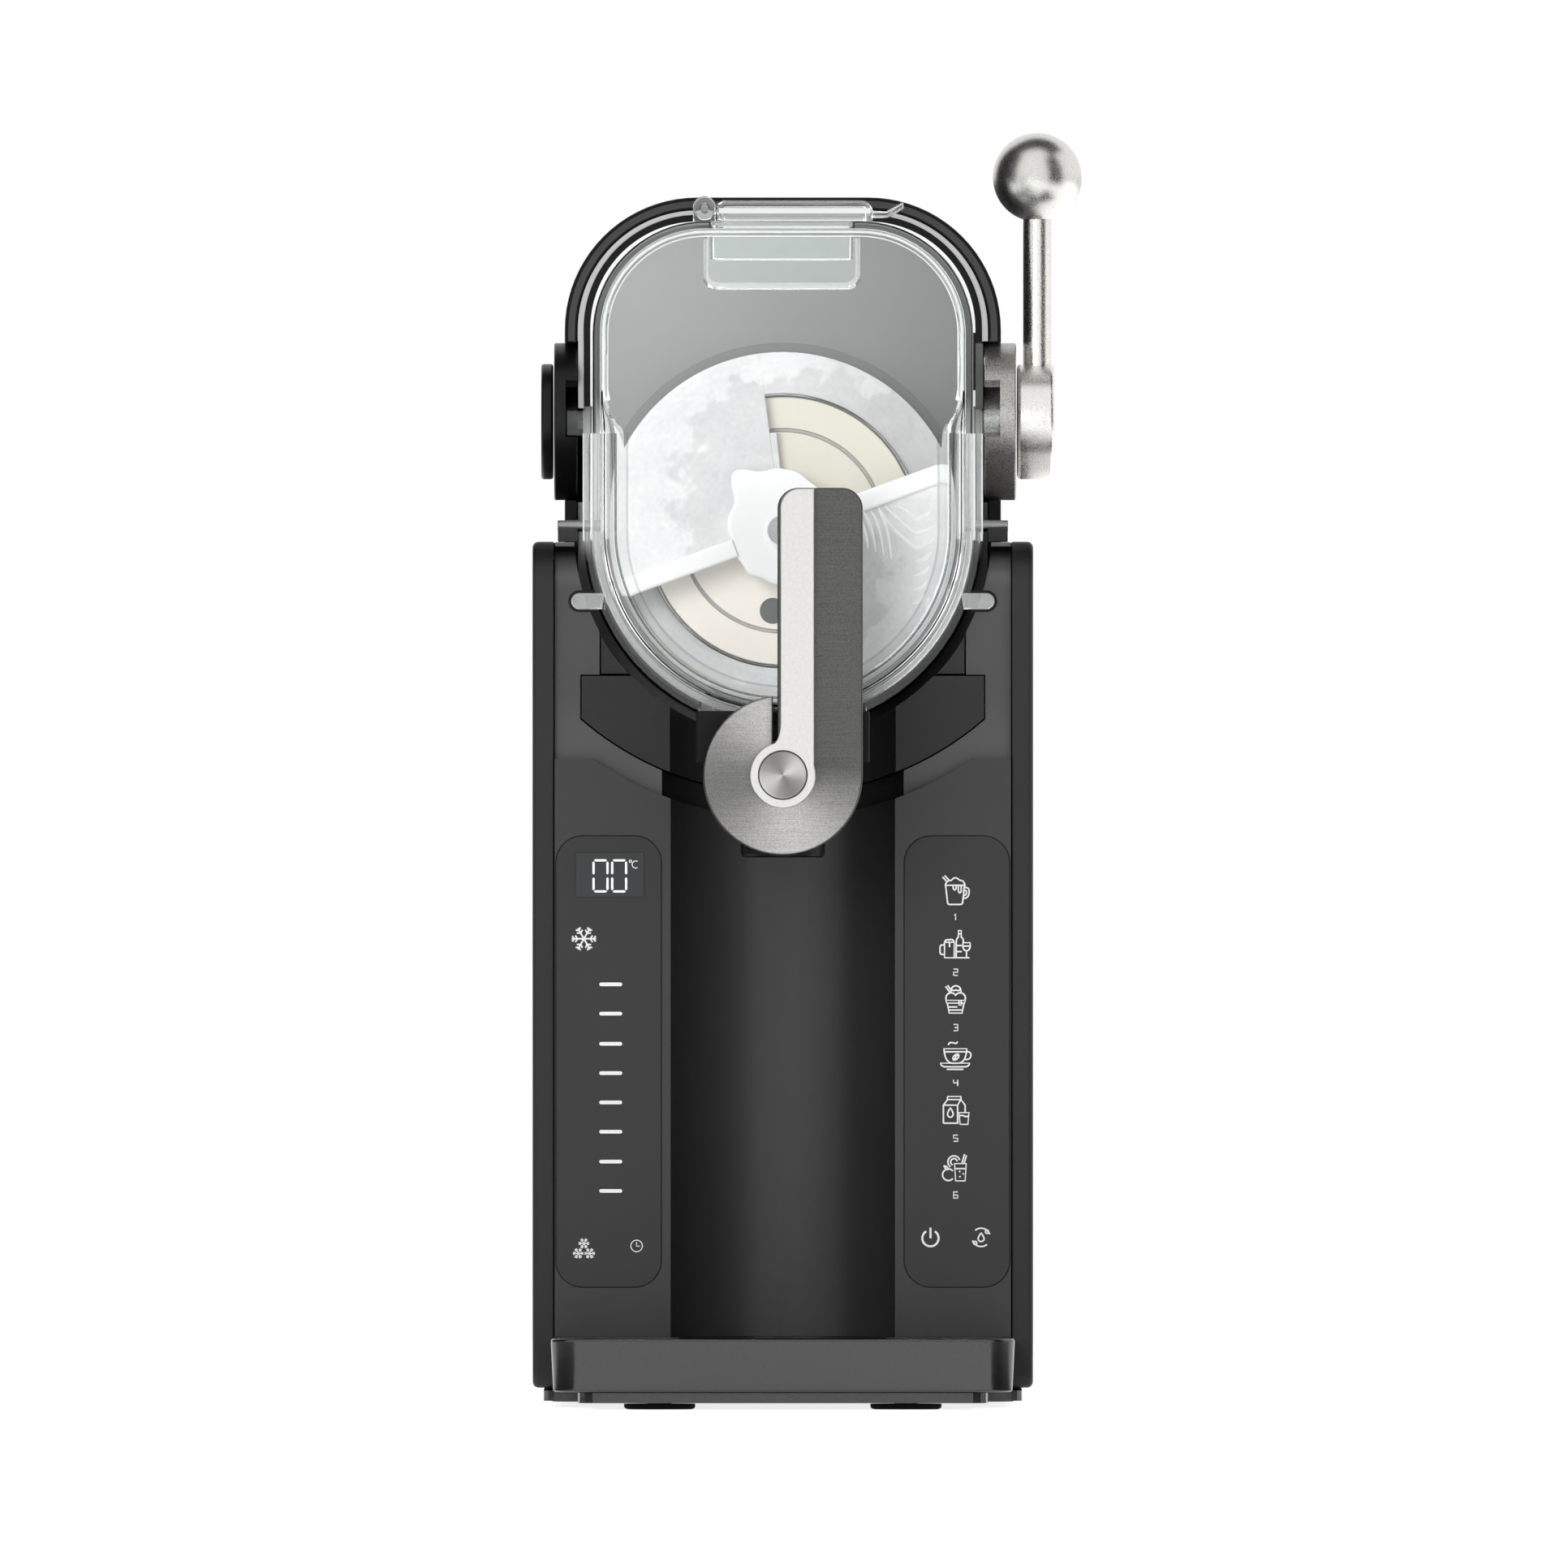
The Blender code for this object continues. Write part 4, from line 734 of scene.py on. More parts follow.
def banded(name, roughness, *stops):
    """A moulding whose tone changes with height: stops are (height, screen colour)."""
    tree, shader = start_look(name)
    where = place_of(tree)
    tone = by_height(tree, axes(tree, where)["Z"], [(z, colour(screen)) for z, screen in stops])
    speck = grain(tree, where, 900.0, 2.0)
    coat(tree, shader, tone, speck, (roughness - 0.06, roughness + 0.06), (speck, 0.15, 0.0001))


def back_plate(name, level):
    """Grey plastic of the wall behind the vessel, painted paler on the left as if lit from that side."""
    tree, shader = start_look(name)
    where = place_of(tree)
    across = limits(tree, axes(tree, where)["X"], -0.07, 0.05)
    tone = ramp(tree, across, (0.0, colour(178, level)), (1.0, colour(136, level)))
    speck = grain(tree, where, 1400.0, 2.0)
    coat(tree, shader, tone, speck, (0.45, 0.56), (speck, 0.08, 0.0001), {SPECULAR: 0.3})


def frosted_white():
    """White plastic under frost: thick and white toward the rim, thinner and greyer inside a ragged edge. It
    is painted greyer further back, as shade, and darker low on the right, a painted shadow of the tap handle.
    """
    tree, shader = start_look("white_plastic")
    where = place_of(tree, location=(-MIDDLE_X * MM, 0, -AXIS_Z * MM))
    parts = axes(tree, where)
    turn = calc(tree, "ARCTAN2", parts["Z"], parts["X"])
    reach = reach_of(tree, parts["X"], parts["Z"])
    polar = add(tree, "ShaderNodeCombineXYZ", {"X": reach, "Y": turn}).outputs[0]
    swirl = add(tree, "ShaderNodeMapping", {"Vector": polar, "Scale": (300, 2.2, 1)}).outputs[0]
    settings = {"Vector": swirl, "Scale": 1.0, "Detail": 4.0, "Distortion": 2.2}
    streak = add(tree, "ShaderNodeTexNoise", settings).outputs["Fac"]
    cloud = grain(tree, where, 90.0, 9.0)
    crystal = grain(tree, where, 640.0, 5.0)
    mixed = calc(tree, "MULTIPLY_ADD", crystal, 0.8, calc(tree, "MULTIPLY_ADD", streak, 0.5, cloud))
    height = limits(tree, mixed, 0.0, 2.3)
    tone = ramp(tree, height, (0.36, colour((222, 223, 224))), (0.62, colour(240)))
    blade = calc(tree, "WRAP", calc(tree, "SUBTRACT", turn, math.radians(FROST_LEAD)), math.pi, 0.0)
    edge = limits(tree, blade, 0.0, math.pi, *FROST_EDGE)
    ragged = calc(tree, "MULTIPLY_ADD", cloud, 0.034, -0.017)
    beyond = calc(tree, "ADD", calc(tree, "SUBTRACT", reach, edge), ragged)
    thick = limits(tree, beyond, -0.001, 0.0012, 0.86, 1.0)
    # Painted shade: the blades are greyer further back.
    depth = limits(tree, parts["Y"], -0.106, -0.101, 1.0, 0.76)
    # Painted shadow of the tap handle: darker low on the right of the axis.
    right = limits(tree, parts["X"], 0.004, 0.012)
    below = limits(tree, parts["Z"], 0.016, 0.01)
    metallic_or_painted_shadow = limits(tree, calc(tree, "MULTIPLY", right, below), 0.0, 1.0, 1.0, 0.88)
    shade = calc(tree, "MULTIPLY", depth, metallic_or_painted_shadow)
    tone = blend(tree, "MULTIPLY", blend(tree, "MULTIPLY", tone, thick), shade)
    coat(tree, shader, tone, cloud, (0.32, 0.6), (height, 0.35, 0.0012), {SPECULAR: 0.35})


def round_the_tap(tree):
    """Places from the tap's axis: their parts across and up, and the angle they stand at."""
    parts = axes(tree, place_of(tree, location=(-MIDDLE_X * MM, 0, -TAP_Z * MM)))
    return parts["X"], parts["Z"], calc(tree, "ARCTAN2", parts["Z"], parts["X"])


def two_lobes(tree, turn, lead, low, high):
    """A factor that swings twice round the axis: a painted reflection, like the light on a turned or brushed
    face.
    """
    twice = calc(tree, "MULTIPLY_ADD", turn, 2.0, -2 * math.radians(lead))
    return limits(tree, calc(tree, "COSINE", twice), -1.0, 1.0, low, high)


def handle_metal():
    """Cross-brushed steel: the arm is dark and the round foot swings from dark to pale, a painted reflection.
    The foot is darker at its rim, and a painted shade darkens the gap beside the strip.
    """
    tree, shader = start_look("brushed_steel")
    streak = grain(tree, place_of(tree, (60, 60, 5200)), 1.0, 3.0)
    speck = grain(tree, place_of(tree), 2600.0, 1.0)
    across, up, turn = round_the_tap(tree)
    right = limits(tree, across, -0.006, 0.002)
    above = limits(tree, up, -0.004, 0.003)
    foot = calc(tree, "SUBTRACT", 1.0, calc(tree, "MULTIPLY", right, above))
    swing = calc(tree, "MULTIPLY", two_lobes(tree, turn, 99, 0.2, 1.0), foot)
    dim = ramp(
        tree, swing, (0.0, colour((97, 97, 96))), (0.2, colour((119, 119, 118))),
        (0.6, colour((155, 154, 153))), (1.0, colour((190, 189, 187))))
    contrast = limits(tree, calc(tree, "ADD", streak, speck), 0.7, 1.3, 0.7, 1.3)
    reach = reach_of(tree, across, up)
    # Darker toward the foot's rim, and a painted shade along the gap beside the strip.
    rim = limits(tree, reach, (DISC_RADIUS - 0.75) * MM, (DISC_RADIUS - 0.45) * MM)
    middle = (HANDLE_LEFT + STRIP_LEFT) / 2 * MM
    line = calc(tree, "MULTIPLY", calc(tree, "COMPARE", across, middle, 0.0007), above)
    edges = calc(tree, "MAXIMUM", calc(tree, "MULTIPLY", rim, foot), line)
    dark_lines = limits(tree, edges, 0.0, 1.0, 1.0, 0.4)
    tone = blend(tree, "MULTIPLY", dim, calc(tree, "MULTIPLY", contrast, dark_lines))
    coat(tree, shader, tone, streak, (0.36, 0.46), (streak, 0.1, 0.0001), {METALLIC: 1.0})


def turned_metal():
    """End face of a turned button: fine rings and a painted bright band of reflection across it."""
    tree, shader = start_look("turned_steel")
    across, up, turn = round_the_tap(tree)
    stops = ((0.0, (132, 131, 130)), (0.5, (158, 157, 156)), (1.0, (200, 199, 198)))
    swing = two_lobes(tree, turn, 28, 0.0, 1.0)
    tone = ramp(tree, swing, *[(place, colour(screen)) for place, screen in stops])
    ripple = calc(tree, "SINE", calc(tree, "MULTIPLY", reach_of(tree, across, up), 9000.0))
    coat(tree, shader, tone, ripple, (0.3, 0.36), (ripple, 0.05, 0.0001), {METALLIC: 1.0})


def display_light():
    """Lit segments of the display."""
    tree, shader = start_look("display_light")
    glow = grain(tree, place_of(tree), 700.0, 2.0)
    tone = ramp(tree, glow, (0.3, colour((222, 226, 228))), (0.7, colour((244, 246, 247))))
    tree.links.new(tone, shader.inputs["Emission Color"])
    coat(tree, shader, tone, glow, (0.4, 0.5), levels={"Emission Strength": 0.2})


def finished(name):
    """A finish that is there already: its nodes, its shader, its tone and the parts of a place."""
    tree = LOOKS[name].node_tree
    shader = tree.nodes["Principled BSDF"]
    return tree, shader, shader.inputs[COLOUR].links[0].from_socket, axes(tree, place_of(tree))


def upper_front_light_and_shade():
    """The upper panel's front face, painted paler low down against the shade under the fascia's top, and
    painted dark behind it as shade in the niche's recess.
    """
    tree, shader, tone, parts = finished("upper_plastic")
    # Painted shade behind the front face, in the niche's recess; painted light low down, above the fascia's
    # top.
    recess_shade = limits(tree, parts["Y"], (UPPER_FRONT + 0.3) * MM, (UPPER_FRONT + 0.9) * MM, 1.0, 0.12)
    lower = limits(tree, parts["Z"], 0.212, 0.242, 1.45, 1.0)
    mixed = blend(tree, "MULTIPLY", tone, calc(tree, "MULTIPLY", recess_shade, lower))
    tree.links.new(mixed, shader.inputs[COLOUR])


def shaded_front(name, front, stops):
    """A painted soft shadow toward the top of a front face, with a painted highlight where a share is over
    one: stops are (height, share of the tone). The gloss follows the same share.
    """
    tree, shader, tone, parts = finished(name)
    shade = by_height(tree, parts["Z"], [(z, (share, share, share, 1)) for z, share in stops])
    near = limits(tree, parts["Y"], (front + 0.5) * MM, (front + 3) * MM, 1.0, 0.0)
    less = blend(tree, "SUBTRACT", shade, (1, 1, 1))
    share = blend(tree, "MULTIPLY_ADD", less, near, (1, 1, 1))
    tree.links.new(blend(tree, "MULTIPLY", tone, share), shader.inputs[COLOUR])
    gloss = shader.inputs[SPECULAR]
    tree.links.new(calc(tree, "MULTIPLY", share, gloss.default_value), gloss)


def make_looks():
    for build, rows in ((plastic, PLASTICS), (metal, METALS), (clear, CLEARS)):
        for name, values in rows.items():
            build(name, *values)
    back_plate("grey_plastic", 1.0)
    back_plate("ring_plastic", 0.8)
    lug_top = LUG_HIGH + 5
    pale = (196, 197, 197)
    # Painted light: the vessel seal is pale below the lock lugs, where light comes through the vessel, and
    # darker above them; the plate gasket is pale between dark ends below and above.
    banded("seal_rubber", 0.6, (LUG_LOW, (206, 208, 208)), (lug_top, (104, 107, 107)))
    banded("gasket_rubber", 0.7, (286, 16), (295, pale), (LUG_LOW, pale), (lug_top, 16))
    # Painted light and shade: the cream cap is paler low down, against the shade that falls there, and darker
    # above.
    banded("cream_plastic", 0.5, (AXIS_Z - 8, (243, 236, 227)), (AXIS_Z + 14, (223, 218, 205)))
    for build in (upper_front_light_and_shade, frosted_white, handle_metal, turned_metal, display_light):
        build()
    shaded_front("upper_plastic", UPPER_FRONT, UPPER_SHADES)
    shaded_front("side_plastic", SIDE_FRONT, SIDE_SHADES)


def dress_cad():
    """Every CAD node takes the procedural finish of its material slot, with its edges eased; the base plate
    takes the tray's finish instead, to lighten its front where the tray shades it, a painted light.
    """
    for row in frame["record"]["subparts"]:
        node = frame["nodes"][row["node"]]
        look = "tray_plastic" if row["node"] == "base_plate" else row["material_slot"]
        node.data.materials.clear()
        node.data.materials.append(LOOKS[look])
        eased(node, 0.25, 1, 40)


# Feet and outer panels

def feet():
    profile = [(0, 0.3), (6.5, 0.3), (7.2, 0), (10.8, 0), (11.7, 0.35), (12, 0.9), (12, 1.9)]
    profile += [(4, 1.9), (4, 5.5), (0, 5.5)]
    for place, (x, y) in FEET.items():
        for side, hand in HANDS:
            piece(f"foot_{place}_{hand}", lathe(profile, "Z", (side * x, y), 48), "body", "black_rubber")


def side_panels():
    """Hollow side shells with rounded outer edges, vent slots and the rails of the catch."""
    outline = rounded_box(SIDE_FRONT, REAR, SIDE_BOTTOM, SIDE_TOP, 5)
    hollow = rounded_box(SIDE_FRONT + 5, REAR - 5, SIDE_BOTTOM + 5, SIDE_TOP - 5, 4, 4)
    slots = [rounded_box(10 + 15 * k, 14 + 15 * k, 40, 112, 1.9, 5) for k in range(7)]
    for side, hand in HANDS:
        panel = slab(outline, *pair(side, SIDE_INNER, BODY_HALF), "X", *(0.4, 2.0)[::side], steps=6)
        hollow_tool = slab(hollow, *pair(side, SIDE_INNER - 2, BODY_HALF - 2.4), "X")
        panel = cut(panel, hollow_tool, slabs(slots, *pair(side, 70, 90), "X"))
        rail = box(*pair(side, 64.6, BODY_HALF - 1.2), -82, -48, 239.8, 243.4)
        piece(f"{hand}_side_panel", join(panel, rail), "body", "side_plastic", bevel=0.3)


def screw_head(x, z, y, radius=3.2):
    """A domed cross-head screw seen from behind."""
    profile = shifted(y, (0, -0.6), (radius, -0.6), (radius, 0.5), (radius * 0.8, 1.1), (0, 1.4))
    long, short = 1.9, 0.45
    arms = [box(x - u, x + u, y + 0.5, y + 3, z - v, z + v) for u, v in ((long, short), (short, long))]
    return cut(lathe(profile, "Y", (x, z), 28), *arms)


def rear_panel():
    outline = rounded_box(-FASCIA_HALF, FASCIA_HALF, FASCIA_BOTTOM, TOWER_BOTTOM - GAP, 3, 6)
    lows = [72 + 14 * k for k in range(6)]
    slots = [rounded_box(*ends, z, z + 6, 2.9, 6) for z in lows for ends in ((-62, -4), (4, 62))]
    through = (REAR - 9, REAR + 9)
    inlet = box(29.7, 60.3, *through, 19.7, 44.3)
    panel = cut(slab(outline, REAR - 3, REAR, "Y", 0, 0.9), slabs(slots, *through, "Y"), inlet)
    piece("rear_panel", panel, "body", "side_plastic", bevel=0.4)
    heads = [screw_head(x, z, REAR - 1.2) for x in (-70, 70) for z in (16, 150, 280)]
    piece("rear_screws", merged(*heads), "body", "plain_steel", ())


# Front

def front_fascia():
    outline = wrapped(
        FASCIA_FRONT, FASCIA_FRONT + FASCIA_WALL, NICHE_RADIUS, NICHE_RADIUS + FASCIA_WALL, FINE)
    arch = arc(0, ARCH_Z, ARCH_RADIUS, 234.8, 305.2, 80) + [(64.6, 240), (-64.6, 240)]
    tools = [slab(arch, *FRONT_CUT, "Y")]
    for side in SIDES:
        ends = pair(side, PANEL_INNER - GAP, PANEL_OUTER + GAP)
        recess = rounded_box(*ends, PANEL_LOW - GAP, PANEL_HIGH + GAP, PANEL_CORNER + GAP, 14)
        tools.append(slab(recess, FASCIA_FRONT - 4, FASCIA_FRONT + 1.4, "Y"))
    fascia = cut(slab(outline, FASCIA_BOTTOM, FASCIA_TOP, "Z"), *tools)
    piece("front_fascia", fascia, "body", "fascia_plastic", bevel=0.25)


def control_panels():
    for side, hand in HANDS:
        outline = rounded_box(*pair(side, PANEL_INNER, PANEL_OUTER), PANEL_LOW, PANEL_HIGH, PANEL_CORNER, 14)
        panel = slab(outline, FASCIA_FRONT, PANEL_BACK, "Y", 0.22)
        if side < 0:
            x0, x1, z0, z1 = WINDOW
            hole = rounded_box(x0 - 0.1, x1 + 0.1, z0 - 0.1, z1 + 0.1, 0.8, 5)
            panel = cut(panel, slab(hole, FASCIA_FRONT - 4, FASCIA_FRONT + 4, "Y"))
            glass = slab(rounded_box(*WINDOW, 0.7, 5), FASCIA_FRONT, PANEL_BACK, "Y", 0.12)
            piece("display_window", glass, "body", "display_gloss")
        piece(f"{hand}_control_panel", panel, "body", "panel_gloss")


def vessel_room():
    """What the vessel sweeps when it is drawn forward, as a tool to cut with."""
    return cylinder(SWEEP_RADIUS, *FRONT_CUT, "Y", DRUM_AXIS, 144)


def upper_front_panel():
    inner = NICHE_RADIUS + FASCIA_WALL + 0.4
    outline = wrapped(UPPER_FRONT, UPPER_FRONT + 2.8, inner, inner + 2.8, FINE)
    half = CATCH_HALF + 0.4
    ledge = CATCH_TOP + 0.4
    drop = math.degrees(math.acos(half / (CATCH_ARCH + 0.5)))
    opening = arc(0, ARCH_Z, CATCH_ARCH + 0.5, 180 + drop, 360 - drop, 80)
    right = [(half, ledge), (UPPER_OPENING, ledge), (UPPER_OPENING, 300)]
    opening += right + mirrored(right[::-1], -1)
    panel = cut(slab(outline, 197, UPPER_TOP, "Z"), slab(opening, *FRONT_CUT, "Y"), vessel_room())
    piece("upper_front_panel", panel, "body", "upper_plastic", bevel=0.3)


def trough_front():
    """Dark corners that close the opening beside the vessel, above the catch and beside the back plate."""
    edge = UPPER_OPENING - 0.4
    low = CATCH_TOP + 0.7
    reach = SWEEP_RADIUS + 0.3
    start = math.degrees(math.asin((low - AXIS_Z) / reach))
    end = -math.degrees(math.acos(edge / reach))
    outline = [(edge, low)] + arc(*DRUM_AXIS, reach, end, start, 12)
    corners = []
    for side in SIDES:
        corners.append(slab(mirrored(outline, side), UPPER_FRONT + 0.6, UPPER_FRONT + 3.4, "Y"))
        ends = pair(side, 68.8, 72.5)
        corners.append(box(*ends, PLATE_BACK + 1, PLATE_BACK + 2.5, 284, TOWER_BOTTOM - 0.2))
    piece("trough_front", merged(*corners), "body", "catch_plastic", (), bevel=0.2)


def condensation_catch():
    hollow = NICHE_RADIUS + 0.6
    start = math.degrees(math.asin((CATCH_FRONT - FASCIA_FRONT) / hollow))
    outline = [(-CATCH_HALF, CATCH_FRONT)]
    outline += arc(0, FASCIA_FRONT, hollow, 180 - start, start, 80)
    outline += [(CATCH_HALF, CATCH_FRONT), (CATCH_HALF, CATCH_BACK), (-CATCH_HALF, CATCH_BACK)]
    below = arc(0, ARCH_Z, CATCH_ARCH, 225, 315, 100) + [(90, 190), (-90, 190)]
    pocket = [(41.5, 219.6), (61.5, 231.4), (61.5, 260), (41.5, 260)]
    tools = [slab(below, *FRONT_CUT, "Y")]
    for side in SIDES:
        tools.append(box(*pair(side, 64, 80), CATCH_FRONT + 3, -40, 190, 244))
        tools.append(slab(mirrored(pocket, side), CATCH_FRONT + 2.5, CATCH_BACK - 2.5, "Y"))
    catch = cut(slab(outline, 200, CATCH_TOP, "Z"), *tools, vessel_room())
    piece("condensation_catch", catch, "catch", "catch_plastic", bevel=0.45)


# Tray

def drip_tray():
    levels = [(-2.4, 6.0), (-1.6, 6.05), (-1.0, 6.35), (-0.85, 6.9), (-0.1, 22.9), (-0.2, 23.5)]
    levels += [(-0.6, 23.85), (-1.2, 23.9), (-1.7, 23.8), (-2.1, 23.5), (-2.2, 23.0), (-2.2, 20.4)]
    levels += [(-4.6, 20.4), (-4.7, 10.0), (-5.2, 8.9), (-6.3, 8.5)]
    rings = [[Vector((x, y, z)) for x, y in tray_outline(offset)] for offset, z in levels]
    piece("drip_tray", loft(rings), "tray", "tray_plastic", angle=50)


def drip_grid():
    plate = slab(tray_outline(-2.6), 20.7, 23.4, "Z", 0.3, 0.6)
    slots = [rounded_box(-67.5 + 14.5 * k, -62.5 + 14.5 * k, -176, -102, 2.4) for k in range(10)]
    piece("drip_grid", cut(plate, slabs(slots, 15, 30, "Z")), "grid", "black_plastic", bevel=0.35)


# Tower

def tower_loft(levels, bottom):
    """The tower's outline drawn in by some amount at each depth."""
    rings = []
    for drawn, y in levels:
        outline = arched(TOWER_HALF - drawn, TOWER_TOP - drawn, TOWER_CORNER - drawn, bottom)
        rings.append([Vector((x, y, z)) for x, z in outline])
    return loft(rings)


def tower_shell():
    levels = [(0.9, TOWER_FRONT), (0.3, TOWER_FRONT + 0.3), (0, TOWER_FRONT + 0.9), (0, REAR - 9)]
    levels += [(0.7, REAR - 5.6), (2.6, REAR - 2.6), (5.6, REAR - 0.7), (9, REAR)]
    hollow = [(4, TOWER_FRONT - 5), (4, PLATE_BACK + GAP), (2.5, PLATE_BACK + 1.5), (2.5, REAR - 11)]
    hollow.append((10, REAR - 3))
    shell = cut(tower_loft(levels, TOWER_BOTTOM), tower_loft(hollow, TOWER_BOTTOM - 10))
    ledges, pockets, mouths = [], [], []
    for side in SIDES:
        ends = pair(side, 72, FASCIA_HALF)
        ledges.append(box(*ends, PLATE_FRONT + 0.2, REAR - 10, TOWER_BOTTOM + 0.1, UPPER_TOP))
        ends = pair(side, LOCK_INNER - 0.5, 90)
        pockets.append(cylinder(LOCK_ROOM, *ends, "X", LOCK_AXIS, 72))
        mouths.append(box(*ends, TOWER_FRONT - 5, LOCK_Y, LOCK_Z - 26.9, LOCK_Z + 26.9))
    slots = [rounded_box(-40, 40, 318 + 12 * k, 323 + 12 * k, 2.4, 6) for k in range(4)]
    slots = slabs(slots, REAR - 20, REAR + 9, "Y")
    shell = cut(join(shell, merged(*ledges)), merged(*pockets), merged(*mouths), slots)
    piece("tower_shell", shell, "body", "tower_black", bevel=0.3)


def tower_front_plate():
    half, top, corner = [size - PLATE_INSET for size in (TOWER_HALF, TOWER_TOP, TOWER_CORNER)]
    plate = slab(arched(half, top, corner, 205), PLATE_FRONT, PLATE_BACK, "Y", 0.5)
    through = (40, 60)
    heights = (LOCK_Z - LOCK_ROOM, LOCK_Z + LOCK_ROOM)
    notches = [box(*pair(side, LOCK_INNER - 0.5, 80), *through, *heights) for side in SIDES]
    holes = [cylinder(8, *through, "Y", DRUM_AXIS), cylinder(4, *through, "Y", (-25, 280))]
    plate = cut(plate, merged(*notches), merged(*holes))
    piece("tower_front_plate", plate, "body", "grey_plastic")
    ring = arc(*DRUM_AXIS, 64.4, 20, 160, 90) + arc(*DRUM_AXIS, 57.0, 160, 20, 90)
    ring = slab(ring, PLATE_FRONT - 0.9, PLATE_FRONT - 0.02, "Y", 0.3)
    piece("plate_ring", ring, "body", "ring_plastic", ())


def tower_trim():
    """A satin band on the tower's rim, and a pale lip between the rim and the vessel's flange, which paints
    light into that shaded gap.
    """
    centre = (TOWER_HALF - TOWER_CORNER, TOWER_TOP - TOWER_CORNER)
    foot = LOCK_Z + LOCK_RADIUS + 0.5
    feet = (foot, foot)
    band = over_the_top((*centre, TOWER_CORNER - 1.2), (*centre, TOWER_CORNER - 3.5), feet)
    band = slab(band, TOWER_FRONT - 0.4, TOWER_FRONT + 0.2, "Y", 0.2)
    piece("tower_band", band, "body", "trim_plastic", ())
    out = FLANGE_OUT + 0.25
    depths = (TOWER_FRONT + 0.3, PLATE_FRONT - 0.1)
    lip = over_the_top((*centre, TOWER_CORNER - 4.4), (*FLANGE_CENTRE, FLANGE_CORNER + out), feet)
    leg = box(-LIP_OUT, -VESSEL_HALF - out, *depths, LUG_HIGH + 1, foot)
    piece("rim_lip", merged(slab(lip, *depths, "Y", 0.2), leg), "body", "lip_rubber", ())


# Vessel, lid and tap

def port_box(drawn, low, high, fillet):
    """A rounded block in the filling port, drawn in from its outline."""
    x0, x1, y0, y1 = PORT
    return box(x0 + drawn, x1 - drawn, y0 + drawn, y1 - drawn, low, high, fillet)


def port_skirt():
    x0, x1, y0, y1 = PORT
    skirt = slab(rounded_box(x0, x1, PORT_BOTTOM, VESSEL_TOP - 3.1, 3.6), y0, y1, "Y", 1.6, 1.6)
    hollow = rounded_box(x0 + 2, x1 - 2, PORT_BOTTOM - 12, VESSEL_TOP + 6, 2.0, 6)
    skirt = cut(skirt, slab(hollow, y0 + 2, y1 - 2, "Y"))
    sleeve = cut(port_box(2.3, 388, VESSEL_TOP - 1, 1.0), port_box(3.4, 380, VESSEL_TOP + 6, 0.8))
    clear_piece("port_skirt", merged(skirt, sleeve), "vessel", "port_plastic", (), angle=28)


def vessel_fittings():
    """Shoes, ears with their rubber rims, and steel pins at the sides of the vessel."""
    ear = arc(68.7, 272.4, 2.7, -90, 90, 16) + [(60.2, 275.1), (61.0, 269.7)]
    rim = arc(68.7, 272.4, 3.7, -90, 90, 20) + arc(68.7, 272.4, 2.8, 90, -90, 20)
    depths = (-119.5, -117)
    pins, shoes, rims = [], [], []
    for side in SIDES:
        pins.append(cylinder(1.95, *pair(side, 62.6, 76.3), "X", (-30, 298.1), 24))
        shoes.append(box(*pair(side, 69.5, 76.2), -32.4, -27.6, SIDE_TOP + 0.05, 297.4))
        rims += [box(*pair(side, 63.4, 68.8), *depths, z, z + 0.9) for z in (268.7, 275.2)]
        rims.append(slab(mirrored(rim, side), *depths, "Y"))
    ears = slabs([mirrored(ear, side) for side in SIDES], -121, -114, "Y", 0.8, 0.8)
    piece("vessel_shoes", merged(*shoes), "vessel", "trim_plastic", (), bevel=0.3)
    piece("ear_rims", merged(*rims), "vessel", "black_rubber", ())
    clear_piece("vessel_ears", ears, "vessel", "mist_plastic", (), angle=40)
    piece("vessel_pins", merged(*pins), "vessel", "plain_steel", (), bevel=0.3)


def hinge_bore():
    return cylinder(HINGE_BORE, LID_Y[0] - 9, LID_Y[1] + 9, "Y", HINGE_AXIS, 20)


